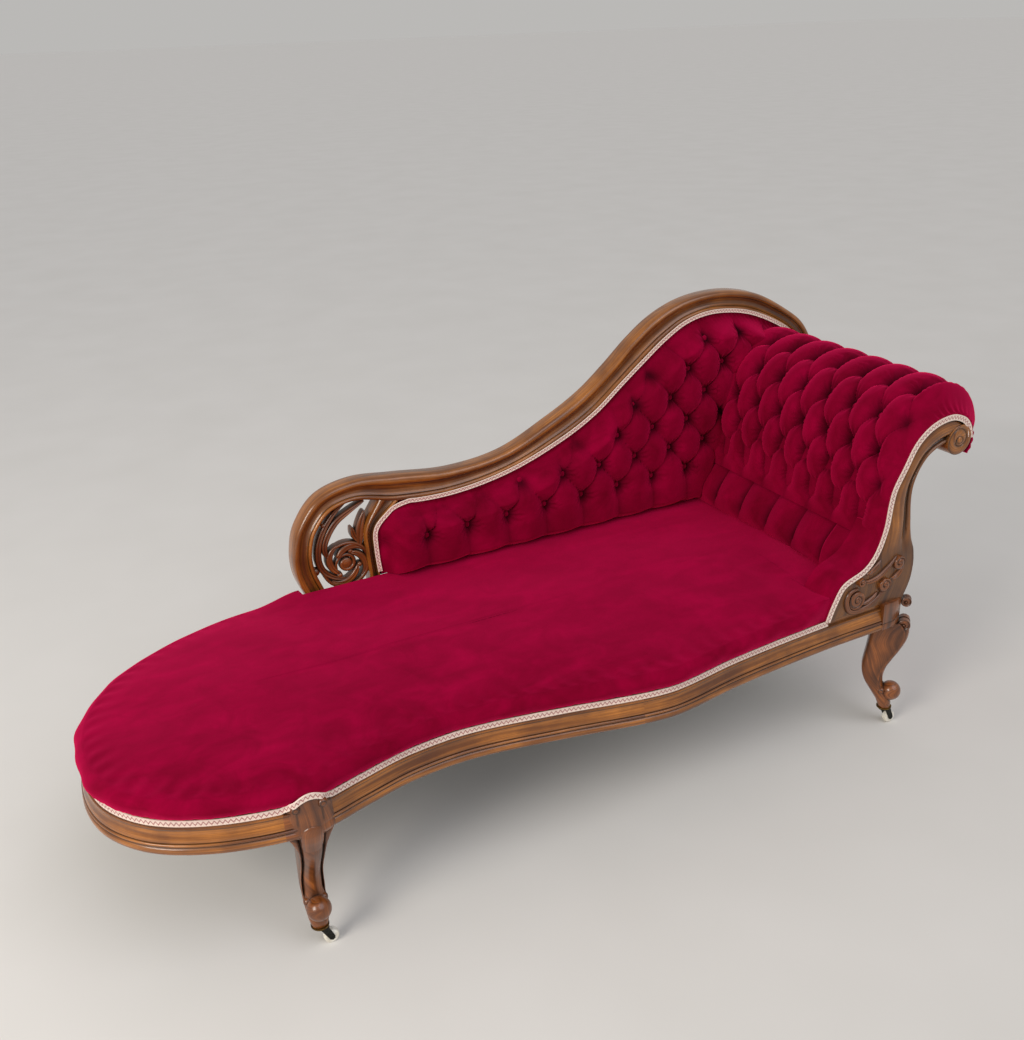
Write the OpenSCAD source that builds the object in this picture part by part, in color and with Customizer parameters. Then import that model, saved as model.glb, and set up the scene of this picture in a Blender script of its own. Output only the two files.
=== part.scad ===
// Fainting couch: a show-wood frame on four castors, a sprung seat, a swept
// and buttoned back with a pierced scroll, and a buttoned roll at the head end.
// X runs from the foot to the head, Y from the front to the back, Z up.

/* [Overall] */
// Length from the foot tip to the head end of the crest
couch_l = 1976; // [1700:1:2200]
// Depth from the front bulge to the rear of the back frame
couch_d = 703; // [640:1:780]
// Height of the crest above the floor
couch_h = 924; // [860:1:1000]

/* [Seat frame] */
// Height of the underside of the seat rails above the floor
rail_z = 280; // [260:1:300]
// Height of a seat rail
rail_h = 65; // [58:1:75]
// Thickness of a seat rail
rail_t = 38; // [32:1:44]
// Width of the two cross strainers
strainer_w = 46; // [36:1:56]
// Height of the two cross strainers
strainer_h = 34; // [26:1:40]
// Side of a glued corner block
block_side = 34; // [24:1:44]

/* [Legs] */
// Distance of the foot-end leg's castor from the foot tip
foot_leg_in = 334; // [300:1:370]
// Distance of the head-end leg's castor from the head end
head_leg_in = 252; // [240:1:270]
// Distance of the front castors from the front
front_leg_in = 64; // [58:1:76]
// Distance of a back castor inside the rear face of its rail
back_leg_in = 21; // [16:1:26]
// Half width of a leg at its ankle
ankle_r = 22; // [19:0.5:24]
// Reach of the knee and of the toe from the ankle
leg_reach = 43; // [36:1:48]
// Radius of the ball on the toe
toe_r = 22; // [18:0.5:24]

/* [Castors] */
// Height from the floor to the castor plate's upper face
castor_h = 50; // [46:1:56]
// Diameter of the ceramic wheel
wheel_d = 29; // [26:0.5:32]
// Width of the ceramic wheel
wheel_w = 15; // [12:0.5:17]
// Distance from the swivel axis to the axle
castor_trail = 18; // [14:0.5:22]
// Diameter of the axle
axle_d = 5; // [4:0.5:6]
// Diameter of the swivel pin
pin_d = 8; // [7:0.5:9]
// Diameter of the castor plate
plate_d = 34; // [30:1:38]

/* [Back] */
// Thickness of the back frame
back_t = 42; // [36:1:46]
// Thickness of the buttoned back at its crown
back_pad_t = 56; // [46:1:64]
// Width of a diamond between the back's buttons
back_pitch = 102; // [90:1:116]
// Height of a row of the back's buttons
back_row = 64; // [56:1:72]
// Radius of the pierced whirl
whirl_r = 56; // [48:1:58]
// Thickness of the pierced carving
carving_t = 22; // [16:1:28]

/* [Head end] */
// Thickness of the head-end posts
post_t = 44; // [38:1:50]
// Pitch of the head-end buttons across the couch
head_pitch = 78; // [68:1:88]
// Pitch of the head-end buttons up the slope
head_row = 66; // [58:1:74]
// Rise of the roll's padding over its posts
roll_rise = 62; // [48:1:72]
// Depth of the padding between the posts
head_depth = 38; // [34:1:44]

/* [Upholstery] */
// Height of the seat's rolled edge above the rails
seat_rim = 38; // [30:1:46]
// Height of the seat's crown above its edge
seat_crown = 28; // [20:1:34]
// Sinking of a button below the crown
tuft_depth = 26; // [18:1:30]
// Diameter of a covered button
button_d = 15; // [12:1:18]
// Width of the gimp braid
gimp_w = 13; // [10:0.5:16]
// Thickness of the gimp braid
gimp_t = 2.4; // [1.6:0.2:3]
// Width of the webbing
web_w = 50; // [40:1:56]
// Thickness of webbing, hessian and lining
cloth_t = 1.2; // [0.8:0.1:2]
// Number of springs along the seat
springs_along = 5; // [4:1:7]
// Diameter of a spring's end coil
spring_d = 76; // [60:1:86]
// Diameter of the spring wire
wire_d = 4; // [3:0.5:5]

/* [Hidden] */

// Overrun of every cut
over = 1;
// Play between a pin and its bore, on the radius
fit = 0.05;
// Clearance between pieces that seat on each other
seat_gap = 0.3;

// Height of the rails' top in shares of the height
rail_top_share = 345 / 924;
// Place of the foot-end leg in shares of the length
foot_leg_share = 334 / 1976;

// A place from shares of the length, the depth and the height. Heights are
// above the rails, which keep their own size
function at_x(share) = couch_l * (share - 1/2);
function at_y(share) = couch_d * (share - 1/2);
function at_z(share) = rail_top + (couch_h - rail_top) * (share - rail_top_share) / (1 - rail_top_share);
// The same along the seat outline, which keeps the foot-end leg under its head
function outline_x(share) =
    share < foot_leg_share ? foot_leg_in * share / foot_leg_share - couch_l / 2
    : couch_l / 2 - (couch_l - foot_leg_in) * (1 - share) / (1 - foot_leg_share);
function lerp(a, b, t) = a + (b - a) * t;
function unit(v) = v / norm(v);
function clamp01(t) = max(0, min(1, t));
// Smooth rise from 0 to 1
function ease(t) = let (c = clamp01(t)) c * c * (3 - 2 * c);
function sum(v, i = 0) = i < len(v) ? v[i] + sum(v, i + 1) : v[0] * 0;

// Tangent of a curve at its point i, averaged over both neighbours
function knot_dir(pts, i) =
    let (a = pts[max(i - 1, 0)], b = pts[i], c = pts[min(i + 1, len(pts) - 1)])
    (c - a) / max(norm(b - a) + norm(c - b), 1e-6);
// Point of the smooth curve through pts at t, where a whole t is a knot
function curve(pts, t) =
    let (
        i = max(0, min(floor(t), len(pts) - 2)),
        f = t - i,
        a = pts[i],
        b = pts[i + 1],
        l = norm(b - a),
        ma = knot_dir(pts, i) * l,
        mb = knot_dir(pts, i + 1) * l,
        f2 = f * f,
        f3 = f2 * f
    )
    a * (2 * f3 - 3 * f2 + 1) + ma * (f3 - 2 * f2 + f)
    + b * (3 * f2 - 2 * f3) + mb * (f3 - f2);
// Unit direction of the curve at t
function curve_dir(pts, t) =
    let (e = 1 / 50, n = len(pts) - 1)
    unit(curve(pts, min(t + e, n)) - curve(pts, max(t - e, 0)));
// Normal to the left of the curve
function curve_side(pts, t) = let (d = curve_dir(pts, t)) [-d.y, d.x];
// Evenly spaced values from a to b, n steps
function steps(a, b, n) = [for (i = [0 : n]) lerp(a, b, i / n)];

// Stations from a to b: the ends and every nth part of a knot between them
function stations(a, b, n) =
    concat([a], [for (i = [floor(a * n + 0.01) + 1 : ceil(b * n - 0.01) - 1]) i / n], [b]);
// Point of the faceted edge that a curve becomes with n stations to a knot
function facet(pts, t, n) =
    let (i = floor(t * n + 1e-6), last = len(pts) - 1)
    lerp(curve(pts, i / n), curve(pts, min((i + 1) / n, last)), t * n - i);

// Closed solid over a list of rings, each with the same number of points.
// Each end is one flat face, a fan round its hub where hubs are given, or
// where a pivot is given a fan from that point of the ring
module loft(rings, hubs = [], pivot = -1) {
    m = len(rings[0]);
    n = len(rings);
    c0 = sum(rings[0]) / m;
    c1 = sum(rings[1]) / m;
    turn = sum([for (j = [0 : m - 1]) cross(rings[0][j] - c0, rings[0][(j + 1) % m] - c0)]);
    right = turn * (c1 - c0) > 0;
    pts = [for (r = rings) each r];
    sides = [
        for (i = [0 : n - 2], j = [0 : m - 1])
            let (
                k = (j + 1) % m,
                a = i * m + j,
                b = i * m + k,
                c = a + m,
                d = b + m
            )
            each right ? [[a, c, d], [a, d, b]] : [[a, d, c], [a, b, d]]
    ];
    start = [for (j = [0 : m - 1]) j];
    end = [for (j = [m - 1 : -1 : 0]) (n - 1) * m + j];
    flip = function (f) [for (i = [len(f) - 1 : -1 : 0]) f[i]];
    fan = function (f, hub)
        [for (j = [0 : m - 1]) let (k = (j + 1) % m) if (f[j] != hub && f[k] != hub) [hub, f[j], f[k]]];
    first = right ? start : flip(start);
    last = right ? end : flip(end);
    caps = len(hubs) == 2 ? concat(fan(first, n * m), fan(last, n * m + 1))
        : pivot >= 0 ? concat(fan(first, pivot), fan(last, (n - 1) * m + pivot))
        : [first, last];
    polyhedron(points = concat(pts, hubs), faces = concat(sides, caps), convexity = 8);
}

// Seat outline: the proudest face of the rails, from the head-end front
// corner along the front, round the foot and back along the rear
seat_shares = [
    [0.876, 0.057], [0.840, 0.057], [0.757, 0.054], [0.634, 0.031], [0.550, 0.000],
    [0.509, 0.011], [0.426, 0.064], [0.338, 0.109], [0.276, 0.104], [0.222, 0.068],
    [0.184, 0.040], [0.145, 0.040], [0.085, 0.088], [0.037, 0.172], [0.008, 0.293],
    [0.000, 0.442], [0.012, 0.613], [0.047, 0.770], [0.105, 0.890], [0.171, 0.962],
    [0.212, 0.983], [0.282, 0.994], [0.840, 0.994], [0.876, 0.994],
];
seat_line = [for (p = seat_shares) [outline_x(p.x), at_y(p.y)]];
// Knots of the outline where the pieces of the frame meet
k_head = 0;
k_head_leg = 1;
k_joint = 5;
k_foot_leg = 10;
k_foot = 11;
k_tip = 15;
k_back_foot = 19;
k_back_leg = 20;
k_back_head = 22;
k_end = 23;
rail_top = rail_z + rail_h;
head_in_x = seat_line[k_head_leg].x;
head_end_x = seat_line[k_head].x;

// A place on the seat outline, moved out by o, at height z
function seat_at(t, o, z) =
    let (p = curve(seat_line, t) + o * curve_side(seat_line, t)) [p.x, p.y, z];

// Moulded section of a show-wood rail: shares of its thickness and height
rail_shares = [
    [-1, 0], [-0.12, 0], [-0.02, 0.05], [0, 0.12], [-0.02, 0.19], [-0.10, 0.22],
    [-0.03, 0.26], [-0.02, 0.32], [-0.10, 0.36], [-0.09, 0.50], [-0.15, 0.66],
    [-0.25, 0.73], [-0.20, 0.79], [-0.36, 0.80], [-0.36, 1], [-1, 1],
];
plain_shares = [[-1, 0], [-0.05, 0], [-0.05, 0.40], [-0.05, 0.80], [-0.05, 1], [-1, 1]];
// Plain section with the rebate for the gimp braid
rebate_shares = [[-1, 0], [-0.05, 0], [-0.05, 0.80], [-0.36, 0.80], [-0.36, 1], [-1, 1]];
// The same on the thicker head of a leg
block_shares = [[-1.5, 0], [0, 0], [0, 0.80], [-0.36, 0.80], [-0.36, 1], [-1.5, 1]];
// Face of the rail behind the gimp braid
rebate_o = -0.36 * rail_t;
gimp_z = rail_z + 0.80 * rail_h;

module rail(t0, t1, shares) {
    loft([
        for (t = stations(t0, t1, 3))
            [for (s = shares) seat_at(t, s.x * rail_t, rail_z + s.y * rail_h)]
    ]);
}

module front_rail_foot() {
    color("#6b3d1c") rail(k_joint, k_foot_leg, rail_shares);
}

module front_rail_head() {
    color("#6b3d1c") rail(k_head_leg, k_joint, rail_shares);
}

module foot_rail_front() {
    color("#6b3d1c") rail(k_foot, k_tip, rail_shares);
}

module foot_rail_back() {
    color("#6b3d1c") rail(k_tip, k_back_foot, rail_shares);
}

// The rebate stops short of the crest's foot
module back_rail() {
    k_stop = ceil(k_pad_stop);
    run_out = 1 / 100;
    ts = concat(stations(k_back_leg, k_stop, 3), stations(k_stop + run_out, k_back_head, 3));
    color("#8a5a32")
        loft([
            for (t = ts)
                [for (i = [0 : len(plain_shares) - 1])
                    let (s = lerp(rebate_shares[i], plain_shares[i], clamp01((t - k_stop) / run_out)))
                    seat_at(t, s.x * rail_t, rail_z + s.y * rail_h)]
        ]);
}

// Inner faces of the front and back rails at the head end
front_in_y = seat_line[k_head_leg].y + rail_t;
back_in_y = seat_line[k_back_head].y - rail_t;

module head_rail() {
    color("#8a5a32")
        translate([head_end_x - rail_t, front_in_y + seat_gap, rail_z])
            cube([rail_t, back_in_y - front_in_y - 2 * seat_gap, rail_h]);
}

// Path place of the seat outline at x, between lo and hi
function path_t(x, lo, hi, n = 16) =
    let (mid = (lo + hi) / 2, falling = curve(seat_line, lo).x > curve(seat_line, hi).x)
    n == 0 ? mid
    : (curve(seat_line, mid).x > x) == falling ? path_t(x, mid, hi, n - 1) : path_t(x, lo, mid, n - 1);

// Springs stand in columns between the strainers
spring_x0 = at_x(0.165);
spring_x1 = at_x(0.80);
spring_pitch = (spring_x1 - spring_x0) / springs_along;
strainer_places = [spring_x0 + spring_pitch, spring_x1 - spring_pitch];

// Strainers between the inner faces of the curved front rail and the back rail
module cross_strainers() {
    edge = function (x, lo, hi) seat_at(path_t(x, lo, hi), -rail_t - seat_gap, 0);
    color("#a07a4e")
        translate([0, 0, rail_z + cloth_t])
            for (x = strainer_places)
                linear_extrude(strainer_h)
                    polygon(concat(
                        [for (u = steps(-1/2, 1/2, 4))
                            let (p = edge(x + u * strainer_w, k_head_leg, k_foot_leg)) [p.x, p.y + seat_gap]],
                        [for (u = steps(1/2, -1/2, 2))
                            let (p = edge(x + u * strainer_w, k_back_leg, k_back_head)) [p.x, p.y - seat_gap]]
                    ));
}

// Triangular blocks glued into the head-end corners
module corner_blocks() {
    x0 = head_end_x - rail_t - seat_gap;
    color("#a07a4e")
        translate([x0, 0, rail_z + cloth_t])
            for (side = [[front_in_y + seat_gap, 1], [back_in_y - seat_gap, -1]])
                translate([0, side[0], 0])
                    linear_extrude(rail_h - 2 * cloth_t)
                        polygon([[0, 0], [-block_side, 0], [0, side[1] * block_side]]);
}

// Castor places: x, y and the way that the leg faces
castor_places = [
    [-couch_l / 2 + foot_leg_in, -couch_d / 2 + front_leg_in, -94],
    [couch_l / 2 - head_leg_in, -couch_d / 2 + front_leg_in, -45],
    [(seat_line[k_back_foot].x + seat_line[k_back_leg].x) / 2, seat_line[k_back_leg].y - back_leg_in, 96],
    [(head_in_x + head_end_x) / 2, seat_line[k_back_head].y - back_leg_in, 90],
];
leg_h = rail_z - castor_h;

// Cabriole leg: height share, reach share, depth and width against the ankle
cabriole_shares = [
    [0.00, 1.00, 0.58, 0.68], [0.05, 0.95, 0.72, 0.84], [0.10, 0.86, 0.78, 0.96],
    [0.17, 0.64, 0.78, 1.04], [0.26, 0.40, 0.74, 1.06], [0.36, 0.26, 0.78, 1.04],
    [0.46, 0.27, 0.93, 1.00], [0.56, 0.43, 1.20, 1.02], [0.66, 0.64, 1.42, 1.12],
    [0.77, 0.81, 1.54, 1.28], [0.83, 0.85, 1.53, 1.36],
];
// Its top under the rail at the foot end, and drawn in under the corner
foot_top_shares = [[0.90, 0.87, 1.48, 1.46], [1.00, 0.90, 1.40, 1.56]];
corner_top_shares = [[0.89, 0.80, 1.34, 1.40], [0.94, 0.74, 1.08, 1.40], [1.00, 0.70, 0.92, 1.42]];
// Section of the cabriole leg: a raised panel in front, square at the back
cabriole_side_shares = [[1, 0.34], [0.84, 0.48], [0.76, 0.72], [0.50, 1], [-0.66, 1], [-1, 0.66]];
cabriole_ring_shares = concat(
    cabriole_side_shares,
    [for (i = [len(cabriole_side_shares) - 1 : -1 : 0])
        [cabriole_side_shares[i].x, -cabriole_side_shares[i].y]]
);
// Back leg: height share, reach share, depth and width against the ankle
back_leg_shares = [
    [0.00, 1.00, 0.78, 0.78], [0.10, 0.97, 0.80, 0.80], [0.35, 0.85, 0.80, 0.84],
    [0.70, 0.79, 0.81, 0.96], [0.90, 0.76, 0.79, 1.12],
];
// Its top, which runs into the head at the foot end and meets it at the head end
foot_back_top_shares = [[1.004, 0.73, 0.77, 1.22]];
head_back_top_shares = [[1.00, 0.73, 0.77, 1.22]];
square_ring_shares = [[1, 0.8], [0.8, 1], [-0.8, 1], [-1, 0.8], [-1, -0.8], [-0.8, -1], [0.8, -1], [1, -0.8]];

// Leg from its castor plate to the rail, standing at the castor's axis
module leg_shaft(shares, ring_shares) {
    loft([
        for (s = shares)
            [for (q = ring_shares)
                [leg_reach * (s[1] - 1) + q.x * s[2] * ankle_r,
                 q.y * s[3] * ankle_r,
                 castor_h + s[0] * leg_h]]
    ]);
}

shank_h = 30;
shank_d = pin_d * 1.1;

module shank_bore() {
    translate([0, 0, castor_h - over])
        cylinder(h = shank_h + over + seat_gap, d = shank_d + 2 * fit, $fn = 48);
}

// Dowel from the leg into its head
dowel_d = 7;
dowel_h = 44;

module leg_dowel() {
    translate([-leg_reach * 0.3, 0, rail_z - dowel_h / 2])
        cylinder(h = dowel_h, d = dowel_d, $fn = 32);
}

// Head of a leg, standing between two rails
module leg_stump(t0, t1) {
    rail(t0, t1, block_shares);
}

// Head of the front leg at the corner, canted where it shows
module corner_stump() {
    cant = rail_t * 0.95;
    p = [head_in_x, seat_line[k_head_leg].y];
    translate([0, 0, rail_z])
        linear_extrude(rail_h)
            polygon([
                [p.x, front_in_y], p, [head_end_x - cant, p.y],
                [head_end_x, p.y + cant], [head_end_x, front_in_y],
            ]);
}

module place_leg(p) {
    translate([p.x, p.y, 0])
        rotate(p.z)
            children();
}

// Ball on the toe
module toe_ball() {
    translate([toe_r * 0.45, 0, castor_h + toe_r * 1.95])
        sphere(r = toe_r, $fn = 32);
}

module front_leg_foot() {
    p = castor_places[0];
    color("#6b3d1c") {
        difference() {
            union() {
                place_leg(p) {
                    leg_shaft(concat(cabriole_shares, foot_top_shares), cabriole_ring_shares);
                    toe_ball();
                    leg_dowel();
                }
                leg_stump(k_foot_leg, k_foot);
            }
            place_leg(p) shank_bore();
        }
    }
}

module front_leg_head() {
    p = castor_places[1];
    color("#6b3d1c") {
        difference() {
            union() {
                place_leg(p) {
                    leg_shaft(concat(cabriole_shares, corner_top_shares), cabriole_ring_shares);
                    toe_ball();
                    leg_dowel();
                }
                corner_stump();
            }
            place_leg(p) shank_bore();
        }
    }
}

module rear_leg_foot() {
    p = castor_places[2];
    color("#6b3d1c") {
        difference() {
            union() {
                place_leg(p) {
                    leg_shaft(concat(back_leg_shares, foot_back_top_shares), square_ring_shares);
                    leg_dowel();
                }
                leg_stump(k_back_foot, k_back_leg);
            }
            place_leg(p) shank_bore();
        }
    }
}

module rear_leg_head() {
    p = castor_places[3];
    color("#6b3d1c") {
        difference() {
            union() {
                place_leg(p) {
                    leg_shaft(concat(back_leg_shares, head_back_top_shares), square_ring_shares);
                    leg_dowel();
                }
                rail(k_back_head, k_end, plain_shares);
            }
            place_leg(p) shank_bore();
        }
    }
}

// Castor: a plate with a shank and a swivel pin, a fork, an axle and a wheel
plate_t = 3;
fork_top_t = 5;
fork_w = 22;
cheek_t = 2.4;
fork_z = castor_h - plate_t - seat_gap;
wheel_r = wheel_d / 2;

module castor_plate(i) {
    p = castor_places[i];
    color("#8c6d3a")
        translate([p.x, p.y, 0]) {
            translate([0, 0, castor_h - plate_t])
                cylinder(h = plate_t - seat_gap / 2, d = plate_d, $fn = 48);
            translate([0, 0, castor_h - plate_t])
                cylinder(h = plate_t + shank_h, d = shank_d, $fn = 32);
            translate([0, 0, fork_z - fork_top_t - over])
                cylinder(h = fork_top_t + plate_t, d = pin_d, $fn = 48);
        }
}

module castor_fork(i) {
    p = castor_places[i];
    inside = wheel_w + 2 * seat_gap;
    outside = inside + 2 * cheek_t;
    color("#3a3532")
        translate([p.x, p.y, 0])
            difference() {
                union() {
                    translate([0, 0, fork_z - fork_top_t])
                        cylinder(h = fork_top_t, d = fork_w + cheek_t, $fn = 48);
                    rotate([90, 0, 0])
                        translate([0, 0, -outside / 2])
                            linear_extrude(outside)
                                polygon([
                                    [-fork_w / 3, fork_z],
                                    [fork_w / 2, fork_z],
                                    [castor_trail + axle_d, wheel_r + axle_d / 2],
                                    [castor_trail + axle_d * 0.9, wheel_r - axle_d / 2],
                                    [castor_trail, wheel_r - axle_d],
                                    [castor_trail - axle_d, wheel_r - axle_d / 2],
                                    [0, fork_z - 2 * fork_top_t],
                                ]);
                }
                // Room for the wheel between the cheeks
                translate([castor_trail, inside / 2, wheel_r])
                    rotate([90, 0, 0])
                        cylinder(h = inside, r = wheel_r + over, $fn = 64);
                // Below the crown only the cheeks stand
                translate([-fork_w, -inside / 2, -over])
                    cube([fork_w + castor_trail, inside, fork_z - fork_top_t + over]);
                translate([castor_trail, outside, wheel_r])
                    rotate([90, 0, 0])
                        cylinder(h = 2 * outside, d = axle_d + 2 * fit, $fn = 32);
                translate([0, 0, fork_z - fork_top_t - over])
                    cylinder(h = fork_top_t + 2 * over, d = pin_d + 2 * fit, $fn = 48);
            }
}

module castor_axle(i) {
    p = castor_places[i];
    l = wheel_w + 2 * seat_gap + 2 * cheek_t + over;
    color("#8c6d3a")
        translate([p.x + castor_trail, p.y + l / 2, wheel_r])
            rotate([90, 0, 0])
                cylinder(h = l, d = axle_d, $fn = 32);
}

module castor_wheel(i) {
    p = castor_places[i];
    rim = wheel_w / 5;
    color("#f2efe6")
        translate([p.x + castor_trail, p.y, wheel_r])
            rotate([90, 0, 0])
                rotate_extrude($fn = 64)
                    polygon([
                        [axle_d / 2 + fit, -wheel_w / 2],
                        [wheel_r - rim, -wheel_w / 2],
                        [wheel_r - rim / 3, -wheel_w / 2 + rim / 2],
                        [wheel_r, -wheel_w / 2 + rim * 1.5],
                        [wheel_r, wheel_w / 2 - rim * 1.5],
                        [wheel_r - rim / 3, wheel_w / 2 - rim / 2],
                        [wheel_r - rim, wheel_w / 2],
                        [axle_d / 2 + fit, wheel_w / 2],
                    ]);
}

// Crest of the back frame: outer and inner edges in the plane of the back,
// from the loop's foot on the seat rail over the pierced scroll to the head
crest_outer_shares = [
    [0.277, 0.424], [0.269, 0.476], [0.268, 0.530], [0.276, 0.597], [0.302, 0.664],
    [0.344, 0.689], [0.395, 0.680], [0.464, 0.664], [0.533, 0.679], [0.599, 0.739],
    [0.644, 0.791], [0.680, 0.850], [0.711, 0.907], [0.743, 0.954], [0.780, 0.986],
    [0.820, 0.999], [0.862, 0.995], [0.904, 0.972], [0.947, 0.923], [0.978, 0.874],
    [0.997, 0.806], [1.000, 0.747], [0.991, 0.693],
];
crest_inner_shares = [
    [0.299, 0.431], [0.291, 0.483], [0.290, 0.530], [0.297, 0.580], [0.316, 0.624],
    [0.347, 0.638], [0.397, 0.613], [0.467, 0.607], [0.541, 0.632], [0.611, 0.685],
    [0.657, 0.737], [0.695, 0.800], [0.727, 0.852], [0.756, 0.897], [0.787, 0.933],
    [0.820, 0.948], [0.857, 0.944], [0.892, 0.926], [0.934, 0.885], [0.961, 0.844],
    [0.976, 0.796], [0.978, 0.749], [0.970, 0.706],
];
crest_foot_x = [at_x(0.287), at_x(0.310)];
crest_outer = concat([[crest_foot_x[0], rail_top]], [for (p = crest_outer_shares) [at_x(p.x), at_z(p.y)]]);
crest_inner = concat([[crest_foot_x[1], rail_top]], [for (p = crest_inner_shares) [at_x(p.x), at_z(p.y)]]);
k_crest_end = len(crest_outer) - 1;
// Knots of the crest's inner edge at the two sides of the upright
k_up_left = 6.5;
k_up_right = 7;
back_y = couch_d / 2 - back_t;

// Section of the crest: share of its width from the outer edge, share of its depth
crest_section_shares = [
    [0, 0.35], [0.06, 0.12], [0.18, 0], [0.32, 0.03], [0.42, 0.16], [0.50, 0.24],
    [0.68, 0.22], [0.80, 0.08], [0.92, 0.05], [1, 0.14], [1, 1], [0.06, 1], [0, 0.80],
];
flat_section_shares = [[0, 0], [1, 0], [1, 1], [0, 1]];

// Solid between two edges in a plane of constant Y, with a moulded front
module band(outer, inner, ts, y0, t, shares, relief = [1, 1]) {
    loft([
        for (k = ts)
            let (
                a = curve(outer, k),
                b = curve(inner, k),
                depth = lerp(relief[0], relief[1], ease((k - 3) / 2))
            )
            [for (s = shares)
                let (p = lerp(a, b, s.x), d = s.y > 1/2 ? s.y : s.y * depth)
                [p.x, y0 + d * t, p.y]]
    ]);
}

// Prism of an outline in X and Z, from y0 back to y0 + t
module slab(y0, t) {
    translate([0, y0 + t, 0])
        rotate([90, 0, 0])
            linear_extrude(t)
                children();
}

module back_frame() {
    color("#6b3d1c")
        band(crest_outer, crest_inner, stations(0, k_crest_end, 2), back_y, back_t, crest_section_shares);
}

// Lower rail of the back, on the seat's back rail
low_rail_h = 34;
low_rail_t = 30;
low_rail_top = rail_top + low_rail_h;
low_rail_x0 = curve(crest_inner, 0).x + 4 * seat_gap;
low_rail_x1 = head_end_x;
low_rail_y = back_y + (back_t - low_rail_t) / 2;

module back_lower_rail() {
    color("#8a5a32")
        translate([low_rail_x0, low_rail_y, rail_top])
            cube([low_rail_x1 - low_rail_x0, low_rail_t, low_rail_h]);
}

// Upright between the pierced opening and the upholstery
upright_w = 25;
upright_low_x = at_x(0.3555);
upright_left = [
    [upright_low_x, low_rail_top + seat_gap],
    [at_x(0.353), at_z(0.50)],
    [at_x(0.353), at_z(0.56)],
    facet(crest_inner, k_up_left, 2) - [0, seat_gap],
];
upright_right = [
    [upright_low_x + upright_w, low_rail_top + seat_gap],
    [at_x(0.353) + upright_w * 0.9, at_z(0.50)],
    [at_x(0.353) + upright_w * 1.1, at_z(0.56)],
    facet(crest_inner, k_up_right, 2) - [0, seat_gap],
];

module back_upright() {
    color("#6b3d1c")
        band(upright_left, upright_right, stations(0, 3, 3), back_y, back_t, crest_section_shares);
}

// Opening round the pierced scroll, drawn in by a clearance
function pierced_outline(gap) = concat(
    [for (k = stations(0.6, k_up_left, 2)) facet(crest_inner, k, 2) - gap * curve_side(crest_inner, k)],
    [for (k = [9 : -1 : 0]) curve(upright_left, k / 3) - [gap, 0]],
    [[upright_low_x - gap, low_rail_top + gap],
     [curve(crest_inner, 0.6).x + gap, low_rail_top + gap]]
);

// Whirl: its centre, and centre lines in shares of its radius
whirl_x = at_x(0.3295);
whirl_z = at_z(0.478);
blade_share_sets = [
    [[0.95, 2.52], [0.27, 2.20], [-0.32, 1.82], [-0.77, 1.16], [-0.84, 0.66], [-0.62, 0.27]],
    [[0.30, 2.75], [-0.42, 2.16], [-0.98, 1.30], [-1.14, 0.48], [-0.98, -0.11], [-0.57, -0.48], [-0.05, -0.68]],
];
leaf_share_sets = [
    [[0.58, 0.55], [0.64, 1.05], [0.72, 1.50], [0.92, 2.10]],
    [[0.62, 0.80], [0.42, 1.12], [0.34, 1.50]],
    [[0.66, 0.90], [0.92, 1.12], [1.06, 1.00]],
];
// Round beads: place and radius
bead_shares = [
    [-0.80, 1.82, 0.11], [-1.29, -0.09, 0.17], [0.44, -1.06, 0.17],
    [-0.55, 0.62, 0.10], [-0.32, -0.46, 0.13], [0.55, -0.18, 0.12], [0.20, 0.50, 0.12],
];
// Arms of the whirl: start angle of each, sweep, and radius from bead to tip
arm_starts = [68, -20, 228, 140];
arm_sweep = 118;
ring_sweep = 285;

// Outline of a ribbon along a centre line, swelling to w in the middle
function ribbon(line, w, tip, n) =
    let (m = len(line) - 1, width = function (u) tip + (w - tip) * pow(sin(180 * u), 0.7))
    concat(
        [for (i = [0 : n]) curve(line, m * i / n) + width(i / n) / 2 * curve_side(line, m * i / n)],
        [for (i = [n : -1 : 0]) curve(line, m * i / n) - width(i / n) / 2 * curve_side(line, m * i / n)]
    );
function polar_line(a0, sweep, r0, r1, n) =
    [for (u = steps(0, 1, n)) lerp(r0, r1, ease(u)) * [cos(a0 - sweep * u), sin(a0 - sweep * u)]];

module whirl_2d(line, w, tip, n) {
    translate([whirl_x, whirl_z])
        polygon(ribbon([for (p = line) p * whirl_r], w * whirl_r, tip * whirl_r, n));
}

module scroll_carving() {
    y0 = back_y + (back_t - carving_t) / 2;
    color("#5a3016")
        union() {
            slab(y0, carving_t)
                intersection() {
                    polygon(pierced_outline(seat_gap));
                    union() {
                        for (line = blade_share_sets)
                            whirl_2d(line, 0.28, 0.10, 14);
                        for (i = [0 : len(leaf_share_sets) - 1])
                            whirl_2d(leaf_share_sets[i], i == 0 ? 0.42 : 0.24, 0.10, 6);
                        for (a = arm_starts)
                            whirl_2d(polar_line(a, arm_sweep, 0.5, 0.90, 6), 0.30, 0.10, 9);
                        whirl_2d(polar_line(118, ring_sweep, 0.88, 1.0, 14), 0.18, 0.12, 20);
                        for (b = bead_shares)
                            translate([whirl_x + b.x * whirl_r, whirl_z + b.y * whirl_r])
                                circle(r = b.z * whirl_r, $fn = 12);
                        translate([whirl_x, whirl_z])
                            circle(r = whirl_r * 0.3, $fn = 24);
                    }
                }
            // Central volute, proud of the arms
            slab(y0 - carving_t / 4, carving_t / 2)
                whirl_2d(
                    [for (u = steps(0, 1, 14)) lerp(0.09, 0.46, u) * [cos(560 * u), sin(560 * u)]],
                    0.15, 0.10, 26
                );
        }
}

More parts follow.
